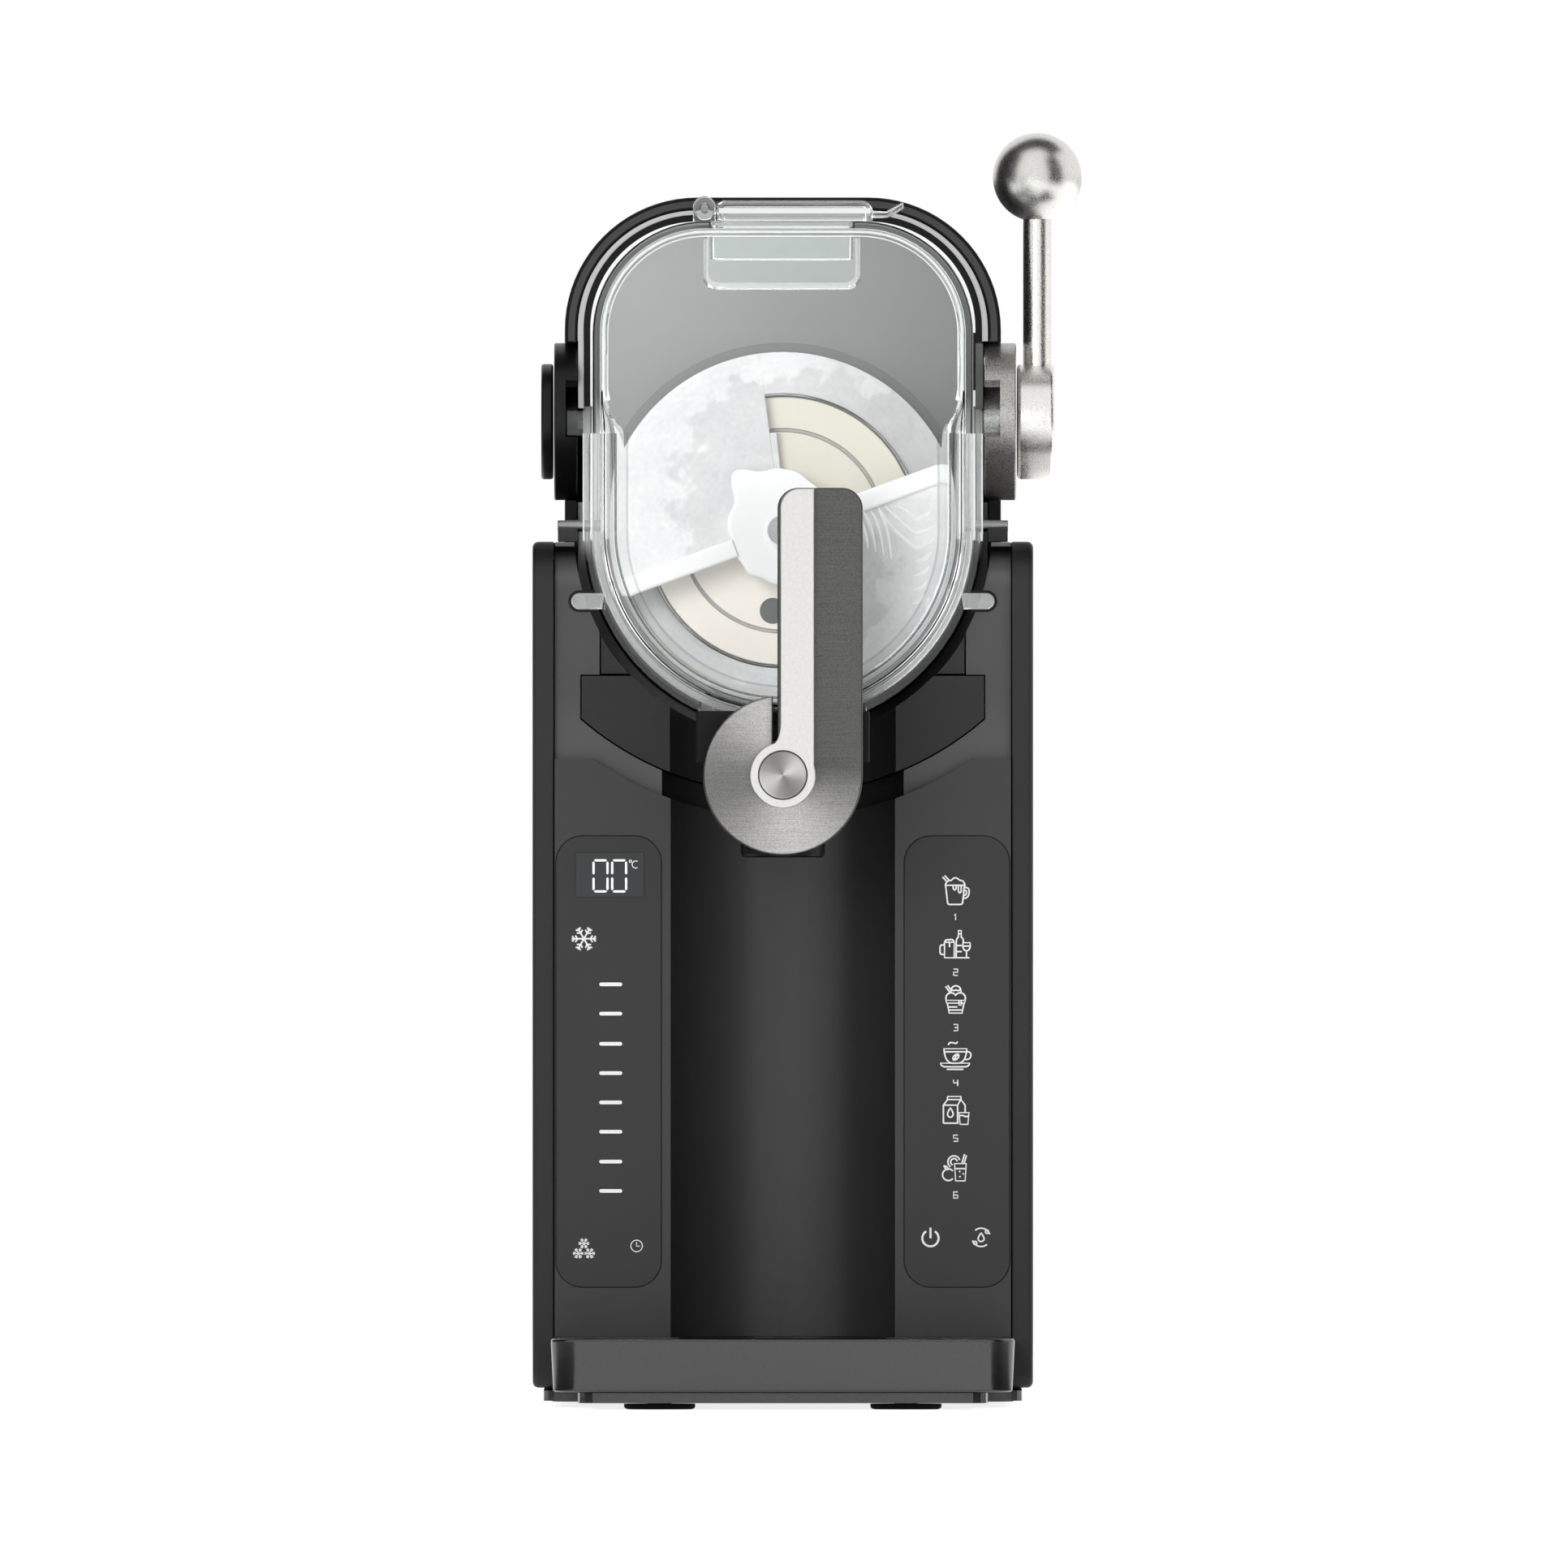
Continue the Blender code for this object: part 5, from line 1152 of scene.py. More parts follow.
def vessel():
    inner = []
    for angle in range(0, 91, 15):
        share = 1 - math.cos(math.radians(angle))
        y = VESSEL_FRONT + VESSEL_WALL + INNER_FILLET * (1 - math.sin(math.radians(angle)))
        inner.append(vessel_ring(-VESSEL_WALL, y, INNER_INSET_LOW * share, INNER_INSET_HIGH * share))
    outer = [vessel_ring(0, VESSEL_FRONT + depth, low, high) for low, high, depth in FACE_STEPS]
    edge = [(FLANGE_OUT - 0.4, FLANGE_BACK), (FLANGE_OUT, FLANGE_BACK - 0.4)]
    edge += [(FLANGE_OUT, FLANGE_FRONT + 0.4), (FLANGE_OUT - 0.4, FLANGE_FRONT)]
    rim = [vessel_ring(-VESSEL_WALL, FLANGE_BACK)] + vessel_rings(edge, FLANGE_CORNER)
    cup = loft(inner[::-1] + rim + [vessel_ring(0, FLANGE_FRONT)] + outer)
    hinge_x, hinge_z = HINGE_AXIS
    knuckle = [(hinge_x - 3.8, VESSEL_TOP - 1.6), (hinge_x + 3.8, VESSEL_TOP - 1.6)]
    knuckle += arc(hinge_x, hinge_z, 3.8, 0, 180, 24)
    knuckles = [slab(knuckle, BARREL_Y[0] - 5, BARREL_Y[0] - GAP, "Y", 0.4)]
    knuckles.append(slab(knuckle, BARREL_Y[1] + GAP, BARREL_Y[1] + 5, "Y", 0, 0.4))
    depths = (FLANGE_FRONT + 0.2, FLANGE_BACK - 0.2)
    lugs = [box(*pair(side, 65.8, LUG_OUT), *depths, LUG_LOW, LUG_HIGH) for side in SIDES]
    ribs = [box(*pair(side, 23.6, 28.2), -119, -111, 234.8, 239, 0.6) for side in SIDES]
    collar = cylinder(10.5, 227.6, 234, "Z", SPOUT_AXIS)
    cup = join(cup, merged(*knuckles), merged(*lugs), merged(*ribs), collar)
    opening = port_box(2, PORT_BOTTOM - 6, VESSEL_TOP + 6, 1.6)
    cup = cut(cup, opening, cylinder(SPOUT_BORE, 220, 243, "Z", SPOUT_AXIS), hinge_bore())
    clear_piece("vessel", cup, "vessel", "clear_plastic", angle=28)


def vessel_seals():
    steps = [(-2.5, SEAL_FRONT), (0.9, SEAL_FRONT), (0.9, 47.7), (-2.5, 47.7)]
    piece("vessel_seal", loft(vessel_rings(steps), closed=True), "vessel", "seal_rubber")
    back = PLATE_FRONT - 0.1
    steps = [(1.2, SEAL_FRONT), (3.6, SEAL_FRONT), (3.6, back), (1.2, back)]
    gasket = loft(vessel_rings(steps, FLANGE_CORNER), closed=True)
    piece("plate_gasket", gasket, "body", "gasket_rubber", ())


def flange_trim():
    """A white bead that paints the glint on the flange's edge, a black band on the face of the flange, a dark
    streak that paints a dark reflection beside it on the right, and the rubber that keeps it on the right.
    """
    def over_flange(outer, inner, feet, front):
        lines = [(*FLANGE_CENTRE, FLANGE_CORNER + out) for out in (outer, inner)]
        return slab(over_the_top(*lines, feet), FLANGE_FRONT - front, FLANGE_FRONT - 0.05, "Y")

    foot = LUG_HIGH + 1.6
    # Painted highlight: a white strip for the glint on the flange's edge.
    bead = over_flange(1.2, 0.03, (foot, foot), 0.45)
    piece("flange_glint", bead, "vessel", "bead_white", (), angle=50)
    disc_top = LOCK_Z + LOCK_RADIUS
    band = over_flange(3.1, 1.25, (disc_top, foot), 0.35)
    across = (VESSEL_HALF + 0.03, VESSEL_HALF + 1.25)
    # Painted reflection: a dark streak on the right side of the flange.
    dark_streak = box(*across, FLANGE_FRONT - 0.75, FLANGE_FRONT - 0.5, 344.5, 364)
    piece("flange_band", merged(band, dark_streak), "vessel", "black_rubber", ())
    across = (VESSEL_HALF + 1.3, VESSEL_HALF + 3.8)
    keeper = box(*across, FLANGE_FRONT - 0.45, FLANGE_FRONT - 0.05, LUG_HIGH + 0.6, disc_top - 0.3)
    piece("flange_keeper", keeper, "vessel", "grey_rubber", ())


def face_lines():
    """Thin clear pieces that paint the bright and dark lines of refraction and reflection in the rim of the
    vessel's face.
    """
    corner = (VESSEL_HALF - VESSEL_CORNER, VESSEL_TOP - VESSEL_CORNER)
    edge = []
    for drawn, turn, step in ((0.15, (59.4, 339.6), 1), (2.3, (58.2, 340.4), -1)):
        radius = VESSEL_CORNER - VESSEL_WALL - drawn
        line = [turn, (corner[0] + radius, 343.6)] + arc(*corner, radius, 0, 90, 24)
        line += mirrored(line[::-1], -1)
        edge += line[::step]
    edge = slab(edge, VESSEL_FRONT + 3.5, VESSEL_FRONT + 3.7, "Y")
    clear_piece("face_edge", edge, "vessel", "edge_plastic", ())

    def lower(name, look, end, corner, steps, *strips):
        swept = []
        for low, high, front, back in strips:
            section = rounded_box(low, high, VESSEL_FRONT + front, VESSEL_FRONT + back, corner, steps)
            swept.append(lower_sweep(section, end))
        clear_piece(name, merged(*swept), "vessel", look, (), angle=40)

    lower("lower_rim", "rim_plastic", 3, 0.7, 4, (0.1, 3.3, 5.2, 7.6))
    lower("lower_edge", "mist_plastic", 90, 0.15, 2, (-2.5, -0.4, 5.6, 6.0))
    lower("lower_shade", "shade_plastic", 90, 0.05, 1, (-3.8, -2.9, 3.6, 3.8), (-12.0, -11.3, 3.3, 3.5))
    lines = [(-8.2, -7.3, depth, depth + 0.2) for depth in (0.1, 0.4, 0.7)]
    lower("lower_lines", "line_plastic", 90, 0.05, 1, (-7.2, -4.7, 3.3, 3.5), *lines)
    lower("lower_veil", "veil_plastic", 90, 0.05, 1, (-12.1, -8.1, 3.7, 3.9))


def port_edge():
    # A thin misty frame that paints bright lines round the filling port, a painted highlight.
    left, right, front = PORT[0] + 0.2, PORT[1] - 0.2, PORT[2]
    outline = []
    for drawn, step in ((0, 1), (1.7, -1)):
        line = [(left + drawn, 395)] + arc(left + 5, 383.3, 5 - drawn, 180, 270, 8)
        line += arc(right - 5, 383.3, 5 - drawn, 270, 360, 8) + [(right - drawn, 395)]
        outline += line[::step]
    clear_piece("port_edge", slab(outline, front - 0.4, front - 0.1, "Y"), "vessel", "mist_plastic", ())


def fill_lid():
    front, back = LID_Y
    outline = [(LID_LEFT, 401.2), (30.4, 401.2)] + arc(26.4, 403.8, 4, 0, 90, 12)
    outline += [(LID_LEFT + 2, 407.8), (LID_LEFT, 406.6)]
    lid = slab(outline, front, back, "Y", 1.2, 1.2)
    lid = cut(lid, box(LID_LEFT + 2, 28.2, front + 2, back - 2, 395, 405.8, 1.2))
    barrel = lathe(turned_bar(HINGE_RADIUS, *BARREL_Y, 0.6), "Y", HINGE_AXIS, 40)
    web = box(HINGE_AXIS[0] + 1, LID_LEFT + 1, BARREL_Y[0] + 1, BARREL_Y[1] - 1, 403.4, 406.8)
    tab = [(29, 402.2), (35.6, 402.2), (40.8, 405.2), (40.8, 407.4), (35, 404.2), (29, 404.2)]
    ribs = []
    for k in range(4):
        x = 36.2 + 1.15 * k
        z = 402.55 + 0.58 * (x - 35.6)
        ribs.append([(x, z), (x + 0.5, z + 0.3), (x + 0.4, z + 2.7), (x - 0.1, z + 2.4)])
    lid = join(lid, barrel, web, slab(tab, -86, -62, "Y", 0.8, 0.8), slabs(ribs, -85, -63, "Y"))
    clear_piece("fill_lid", cut(lid, hinge_bore()), "lid", "lid_plastic", angle=28)
    # lid_band is a pale strip that paints a bright line across the clear lid, a painted highlight.
    band = box(LID_LEFT + 0.6, 29.6, front - 0.3, front - 0.05, 403.4, 405.2)
    piece("lid_band", band, "lid", "band_white", ())


def spigot_body():
    body = cylinder(17, -156.5, -109.5, "Y", TAP_AXIS, 72)
    neck = box(-14.5, 14.5, -140, -109.9, 210, 231.2)
    body = join(body, box(-29.3, 29.3, -148, -121, 217.8, 235.4, 1.4), neck)
    body = cut(body, cylinder(VESSEL_HALF + 0.7, VESSEL_FRONT - 0.6, -90, "Y", DRUM_AXIS, 144))
    nozzle = [(NOZZLE_RADIUS - 1.2, NOZZLE_BOTTOM), (NOZZLE_RADIUS - 0.4, NOZZLE_BOTTOM + 0.4)]
    nozzle += [(NOZZLE_RADIUS, NOZZLE_BOTTOM + 1.5), (NOZZLE_RADIUS, 212)]
    body = join(body, lathe(nozzle, "Z", SPOUT_AXIS, 64))
    bore = lathe([(SPOUT_BORE, 180), (SPOUT_BORE, 227.2), (10.9, 227.2), (10.9, 250)], "Z", SPOUT_AXIS, 48)
    body = cut(body, cylinder(PLUG_RADIUS + 0.4, -165, -111.5, "Y", TAP_AXIS, 64), bore)
    piece("spigot_body", body, "vessel", "black_plastic", bevel=0.4)


def tap_handle():
    slit = HANDLE_LEFT - 1.6
    start = 90 + math.degrees(math.asin(-slit / DISC_RADIUS))
    outline = arc(*TAP_AXIS, DISC_RADIUS, start, 360, 110)
    outline += arc(DISC_RADIUS - 7, HANDLE_TOP - 7, 7, 0, 90, 14)
    outline += arc(HANDLE_LEFT + 7, HANDLE_TOP - 7, 7, 90, 180, 14)
    outline += [(HANDLE_LEFT, 223.4), (HANDLE_LEFT - 0.4, 223), (slit + 0.4, 223), (slit, 223.4)]
    handle = slab(outline, HANDLE_FRONT, HANDLE_BACK, "Y", 0.7, 0.7)
    handle = cut(handle, cylinder(SHAFT_HOLE, -180, -150, "Y", TAP_AXIS))
    piece("tap_handle", handle, "handle", "brushed_steel", angle=40)


def handle_strip():
    right = 360 + math.degrees(math.acos(STRIP_RIGHT / RING_RADIUS))
    ring = arc(*TAP_AXIS, RING_RADIUS, 104.5, right, 80)
    outline = ring + [(STRIP_RIGHT, HANDLE_TOP - 0.3)]
    outline += arc(STRIP_LEFT + 6.4, HANDLE_TOP - 6.7, 6.4, 90, 180, 14)
    outline += bend((STRIP_LEFT, 231.0), (STRIP_LEFT - 0.2, 226.4), ring[0], 10)[:-1]
    back = HANDLE_FRONT - GAP
    strip = slab(outline, STRIP_FRONT, back, "Y", 0.5)
    strip = cut(strip, cylinder(CAP_RADIUS + GAP, -180, -160, "Y", TAP_AXIS, 72))
    piece("handle_strip", strip, "handle", "pale_metal", angle=40)
    profile = shifted(
        STRIP_FRONT, (0, -0.6), (2, -0.65), (CAP_RADIUS - 0.7, -1), (CAP_RADIUS - 0.2, -0.8),
        (CAP_RADIUS, -0.3))
    profile += [(CAP_RADIUS, back), (0, back)]
    piece("handle_cap", lathe(profile, "Y", TAP_AXIS), "handle", "turned_steel")


# Cooling drum and auger

def evaporator():
    def turned(profile, steps=144):
        return lathe(profile, "Y", DRUM_AXIS, steps, closed=True)

    back = PLATE_FRONT - GAP
    drum = [(DRUM_RADIUS - 0.6, DRUM_FRONT), (DRUM_RADIUS, DRUM_FRONT + 0.6), (DRUM_RADIUS, 43), (46, 44)]
    drum += [(51.4, 44), (52, 44.6), (52, back), (41, back), (41, DRUM_FRONT + 4)]
    drum += [(8.4, DRUM_FRONT + 4), (8.4, DRUM_FRONT)]
    piece("evaporator_drum", turned(drum, FINE), "body", "plain_steel")
    cap = [(8.4, DRUM_FRONT - GAP), (45.4, DRUM_FRONT - GAP)]
    cap += shifted(
        CAP_FRONT, (45.4, 0.9), (45.1, 0.3), (44.5, 0), (34.9, 0), (34.65, 0.3), (34.6, 2.6), (33.5, 2.6),
        (33.45, 0.3), (33.2, 0), (8.4, 0))
    piece("evaporator_cap", turned(cap), "body", "cream_plastic")
    edge = shifted(CAP_FRONT, (45.55, 3.5), (45.55, 0.5), (45.9, 0.2), (46.25, 0.5), (46.25, 3.5))
    piece("drum_edge", turned(edge), "body", "plain_steel", ())
    stud = shifted(CAP_FRONT, (0, 0.5), (4.4, 0.5), (4.4, -0.1), (4.0, -0.35), (0, -0.35))
    piece("cap_sensor", lathe(stud, "Y", (-3.4, AXIS_Z - 27.0), 40), "body", "grey_rubber", ())
    # A grey ring in the bottom of the groove paints the groove's shade.
    ring = shifted(CAP_FRONT, (33.65, 2.5), (33.65, 1.1), (34.45, 1.1), (34.45, 2.5))
    piece("cap_groove_shade", turned(ring), "body", "nut_grey", ())


def frost(place, size):
    """A small uneven height, the same each run."""
    broad = noise.noise(place * 0.09)
    small = noise.noise(place * 0.31 + Vector((7, 3, 1)))
    return (broad * 0.8 + small * 0.35) * size


def auger_depth(turn):
    """How far back the helix is after a turn in degrees."""
    return AUGER_FRONT + AUGER_PITCH * turn / 360


def auger_blade(start):
    """A helical blade: a broad frosted scoop in front, then a strip wound round the drum."""
    sweep = 360 * (AUGER_BACK - AUGER_FRONT) / AUGER_PITCH
    turns = [2.0 * k for k in range(int(SCOOP_SWEEP / 2) + 1)]
    turns += [SCOOP_SWEEP + 0.4 + 4.0 * k for k in range(int((sweep - SCOOP_SWEEP) / 4))] + [sweep]
    across = 12
    rings = []
    for turn in turns:
        angle = math.radians(start - turn)
        y = auger_depth(turn)
        inner = 10 if turn <= SCOOP_SWEEP else AUGER_BORE
        ring = []
        for face, order in ((-1, range(across + 1)), (1, range(across, -1, -1))):
            for k in order:
                r = inner + (AUGER_RADIUS - inner) * (k / across)
                flat = Vector((r * math.cos(angle), 0, AXIS_Z + r * math.sin(angle)))
                rise = frost(flat + Vector((0, y, 0)), 0.55) if face < 0 and 0 < k < across else 0
                edge = 0.5 if k in (0, across) else 0
                flat.y = y + face * (2 - edge - rise)
                ring.append(flat)
        rings.append(ring)
    return loft(rings)


def hub_frost():
    """Ice that has grown round the hub, with a spur up to the left."""
    outline = []
    for degrees in range(0, 360, 3):
        angle = math.radians(degrees)
        spur = 7.5 * math.exp(-(((degrees - 131) / 13) ** 2)) + 3 * math.exp(-(((degrees - 98) / 24) ** 2))
        rough = noise.noise(Vector((3 * math.cos(angle), 3 * math.sin(angle), 0.4)))
        reach = 18.2 + spur + 1.3 * rough
        outline.append((reach * math.cos(angle), AXIS_Z + reach * math.sin(angle)))
    return slab(outline, AUGER_FRONT - 2.7, AUGER_FRONT + 6, "Y", 1.4)


def frost_hooks():
    """Curved ridges of frost below the right spoke: each runs out, turns and follows the rim."""
    lines = []
    for k in range(7):
        x, z = 44.8 - 0.03 * k * k, 3.7 - 4.7 * k
        tail = (50.2 + 1.6 * min(k, 1) - 0.85 * max(k - 1, 0), z + 3.2)
        line = bend((x, z), (x + 3.6, z + 0.6), tail)
        if k < 3:
            line = bend((37.2 - 2.6 * k, 8.2), (40.5 - 1.6 * k, z + 4.5), (x, z))[:-1] + line
        lines.append(line)
    for k in range(4):
        x = 24.5 + 2.6 * k
        lines.append(bend((x, 6.2 + 0.3 * k), (x + 3, 1.5), (x + 4.2, -6 - 1.2 * k)))
    ridges = []
    for line in lines:
        rings = []
        for k, (x, z) in enumerate(line):
            ahead = Vector(line[min(k + 1, len(line) - 1)]) - Vector(line[max(k - 1, 0)])
            side = Vector((-ahead.y, ahead.x)).normalized()
            thick = 0.95 * math.sin(math.pi * (k + 0.6) / (len(line) + 0.2)) + 0.08
            y = auger_depth(AUGER_LEADS[0] - math.degrees(math.atan2(z, x))) - 2.1
            ring = []
            for across, out in ((1, 0.5), (0.5, -0.4), (0, -0.7), (-0.5, -0.4), (-1, 0.5)):
                place = Vector((x, z)) + side * (across * thick)
                ring.append(Vector((place.x, y + out * thick, AXIS_Z + place.y)))
            rings.append(ring)
        ridges.append(loft(rings))
    return merged(*ridges)


def spoke(turn):
    """A rounded bar from the hub to the rim, along the leading edge of a blade."""
    root, steps = 17.2, 12
    rings = []
    for k in range(steps + 1):
        x = root + (AUGER_RADIUS - 0.6 - root) * k / steps
        end = 0.9 if k == steps else 0
        outline = rounded_box(-3.2 + end, 3.2 - end, AUGER_FRONT - 4.2 + end, AUGER_FRONT + 1, 1.3, 5)
        rings.append([Vector((x, v, u)) for u, v in outline])
    bar = loft(rings)
    matrix = Matrix.Translation((0, 0, AXIS_Z)) @ Matrix.Rotation(math.radians(-turn), 4, "Y")
    bmesh.ops.transform(bar, matrix=matrix, verts=bar.verts)
    return bar


def auger():
    def turned(profile, steps=FINE, closed=True):
        return lathe(profile, "Y", DRUM_AXIS, steps, closed)

    def shaft_hole():
        return cylinder(SHAFT_HOLE, -130, -90, "Y", DRUM_AXIS)

    front, back = AUGER_FRONT - 2.4, CAP_FRONT - 0.4
    hub = [(SHAFT_HOLE, front), (AUGER_HUB - 1.8, front), (AUGER_HUB - 0.5, front + 0.5)]
    hub += [(AUGER_HUB, front + 1.8), (AUGER_HUB, back), (SHAFT_HOLE, back)]
    rim = AUGER_RADIUS - 0.1
    tail = turned([(49, 35), (rim, 35), (rim, 40.5), (49, 40.5)])
    heel = auger_depth(SCOOP_SWEEP)
    heels = []
    for lead in AUGER_LEADS:
        end = lead - SCOOP_SWEEP
        outline = arc(*DRUM_AXIS, 33.4, end + 1, end - 4.2, 8) + arc(*DRUM_AXIS, 15, end - 7, end + 1, 8)
        heels.append(slab(outline, heel - 1.6, heel + 1.7, "Y", 0.4))
    whole = join(turned(hub), *[auger_blade(lead) for lead in AUGER_LEADS], tail, *heels)
    piece("auger", cut(whole, shaft_hole()), "auger", "white_plastic", angle=38)
    boss = shifted(
        AUGER_FRONT, (4.9, -2), (4.9, -3.3), (5.3, -3.6), (6.1, -3.5), (6.5, -3.1), (6.6, -2))
    ice = merged(cut(hub_frost(), shaft_hole()), frost_hooks(), turned(boss, 48))
    piece("auger_frost", ice, "auger", "ice", (), angle=40)
    piece("auger_spokes", merged(*[spoke(lead) for lead in AUGER_LEADS]), "auger", "ice", (), angle=40)
    low, high = AUGER_FRONT - 6, AUGER_FRONT - 2.7
    nut = slab(circle(*DRUM_AXIS, 3.4, 6), low, high - 0.5, "Y", 0.6)
    washer = shifted(high, (0, -0.6), (4.6, -0.6), (4.8, -0.4), (4.8, 0), (0, 0))
    piece("auger_nut", merged(nut, turned(washer, 48, False)), "auger", "nut_grey")


# Vessel lock

def lock_discs():
    """Discs with a ring-shaped groove in the inner face, open to the front where the lug comes in."""
    groove = []
    for radius, first, last in ((11.7, -24, 90), (17.9, 90, -24)):
        for k in range(33):
            angle = math.radians(first + (last - first) * k / 32)
            groove.append((LOCK_Y - radius * math.cos(angle), LOCK_Z + radius * math.sin(angle)))
    for side, hand in HANDS:
        look = "gloss_black" if side < 0 else "speckled_steel"
        inner = LOCK_INNER if side > 0 else LIP_OUT + GAP
        bar = turned_bar(LOCK_RADIUS, inner, LOCK_OUTER[side], 0.7)
        disc = lathe([(r, side * x) for r, x in bar], "X", LOCK_AXIS)
        ends = pair(side, LOCK_INNER - 3, LUG_OUT + 0.5)
        mouth = box(*ends, LOCK_Y - 40, LOCK_Y - 11.7, LUG_LOW - 0.6, 347.9)
        hole = cylinder(SHAFT_HOLE, *pair(side, 60, 76), "X", LOCK_AXIS)
        piece(f"{hand}_lock_disc", cut(disc, slab(groove, *ends, "X"), mouth, hole), "lever", look, bevel=0.2)


def lever():
    cap = turned_bar(HUB_RADIUS, -LOCK_OUTER[-1] - GAP, -HUB_LEFT, 1.0)
    piece("left_hub_cap", lathe(cap, "X", LOCK_AXIS), "lever", "gloss_black")
    hub = turned_bar(HUB_RADIUS, LOCK_OUTER[1] + GAP, HUB_RIGHT, 1.6)
    bore = cylinder(STEM_RADIUS + GAP, LOCK_Z + 10, LOCK_Z + 40, "Z", STEM_AXIS)
    piece("lever_hub", cut(lathe(hub, "X", LOCK_AXIS), bore), "lever", "bright_steel", bevel=0.25)
    stem = turned_bar(STEM_RADIUS, LOCK_Z + 10.4, BALL_Z - 4, 0.4)
    piece("lever_stem", lathe(stem, "Z", STEM_AXIS, 64), "lever", "polished_steel")
    ball = lathe(arc(0, BALL_Z, BALL_RADIUS, -90, 90, 32), "Z", STEM_AXIS, 64)
    ball = cut(ball, cylinder(STEM_RADIUS + GAP, BALL_Z - 30, BALL_Z - 3.6, "Z", STEM_AXIS))
    piece("lever_ball", ball, "lever", "ball_steel")


# Marks on the control panels

def strokes(name, lines, width, look="white_print"):
    """Printed lines on the panels: each line is (points, closed), drawn as a low rounded bead."""
    curve = bpy.data.curves.new(name, "CURVE")
    curve.dimensions = "3D"
    curve.bevel_depth = width / 2 * MM
    curve.bevel_resolution = 2
    curve.use_fill_caps = True
    for points, closed in lines:
        line = curve.splines.new("POLY")
        line.points.add(len(points) - 1)
        line.use_cyclic_u = closed
        for knot, (x, z) in zip(line.points, points):
            knot.co = ((x + MIDDLE_X) * MM, 0, z * MM, 1)
    source = linked(name + "_line", curve)
    bpy.context.view_layer.update()
    mesh = bpy.data.meshes.new_from_object(source.evaluated_get(bpy.context.evaluated_depsgraph_get()))
    bpy.data.objects.remove(source)
    bpy.data.curves.remove(curve)
    flat = PRINT * 2 / width
    mesh.transform(Matrix.Translation((0, FASCIA_FRONT * MM, 0)) @ Matrix.Diagonal((1, flat, 1, 1)))
    mesh.name = name
    mounted(name, mesh, "body", look)


def moved(lines, x, z, scale=1.0):
    return [([(x + u * scale, z + v * scale) for u, v in points], closed) for points, closed in lines]


def path(*items, closed=False):
    """A line through points. A longer item is a bend: (start,) control, end (and steps), all in one tuple.

    A bend without a start of its own begins at the last point.
    """
    points = []
    for item in items:
        if len(item) == 2:
            points.append(item)
            continue
        start = points[-1] if len(item) < 6 else item[:2]
        control_u, control_v, end_u, end_v, *steps = item if len(item) < 6 else item[2:]
        points += bend(start, (control_u, control_v), (end_u, end_v), *steps)
    return points, closed


def arc_line(*values):
    return arc(*values), False


def ring_line(u, v, radius, steps=28):
    return circle(u, v, radius, steps), True


def drop_line(*items):
    """A closed line that ends where it began."""
    points = path(*items)[0]
    return points[:-1], True


def snowflake(reach, barb):
    lines = []
    for k in range(6):
        turn = math.radians(60 * k)
        lines.append(path((0, 0), (reach * math.cos(turn), reach * math.sin(turn))))
        for share in (0.52, 0.8):
            u, v = reach * share * math.cos(turn), reach * share * math.sin(turn)
            size = barb * (1.25 - share * 0.5)
            leans = (turn + 0.95, turn - 0.95)
            tips = [(u + size * math.cos(lean), v + size * math.sin(lean)) for lean in leans]
            lines.append(path(tips[0], (u, v), tips[1]))
    return lines


def mug():
    return [
        path((-3.6, 2.0), (-2.9, -4.2), (-2.8, -4.9, -2.1, -4.9, 4), (1.7, -4.9), (2.4, -4.9, 2.5, -4.2, 4),
             (3.2, 2.0)),
        path((-4.0, 2.0), (3.6, 2.0)),
        path((-3.7, 2.0, -3.3, 3.9, -1.6, 3.7), (-0.2, 5.6, 1.4, 3.8), (3.1, 3.8, 3.3, 2.0)),
        path((-0.9, 2.0), (-0.9, 0.9, -0.3, -0.2, 0.2, 0.9), (0.2, 2.0)),
        path((1.0, 2.0), (1.0, -0.2, 1.5, -1.2, 2.0, -0.2), (2.0, 2.0)),
        path((3.1, 1.2, 5.2, 1.4, 4.8, -0.9, 10), (4.5, -2.9, 2.7, -2.6)),
        path((3.0, 0.2, 4.1, 0.3, 3.9, -0.8), (3.7, -1.8, 2.8, -1.6, 6)),
        path((-4.7, 5.0), (-3.0, 3.1)),
        path((-4.0, 5.5), (-2.2, 3.7))]


def bottle_and_glasses():
    return [
        path((0.2, -4.8), (0.2, 1.0), (0.3, 2.2, 1.0, 2.6, 5), (1.0, 5.0), (2.0, 5.0), (2.0, 2.6),
             (2.8, 2.2, 2.8, 1.0, 5), (2.8, 0.4)),
        path((1.0, 3.8), (2.0, 3.8)),
        path((0.2, -0.4), (2.2, -0.4)),
        path((0.2, -2.6), (2.2, -2.6)),
        path((-4.0, 0.8), (-4.0, -4.8), (5.0, -4.8)),
        path((-4.2, 0.8), (-0.5, 0.8), (-0.5, -4.8)),
        path((-4.0, 0.8, -3.6, 2.0, -2.4, 1.6), (-1.0, 2.2, -0.6, 0.8)),
        path((-4.0, -0.2), (-5.0, -0.2), (-5.6, -0.3, -5.6, -1.2, 4), (-5.6, -2.6, -5.6, -3.5, -5.0, -3.6, 4),
             (-4.0, -3.6)),
        path((-2.2, 0.6), (-2.2, -1.0)),
        path((2.6, 0.6), (5.2, 0.6), (5.2, -0.6, 5.1, -2.2, 3.9, -2.3), (2.7, -2.2, 2.6, -0.6), closed=True),
        path((3.9, -2.3), (3.9, -4.8)),
        path((2.7, -0.6), (5.1, -0.6))]


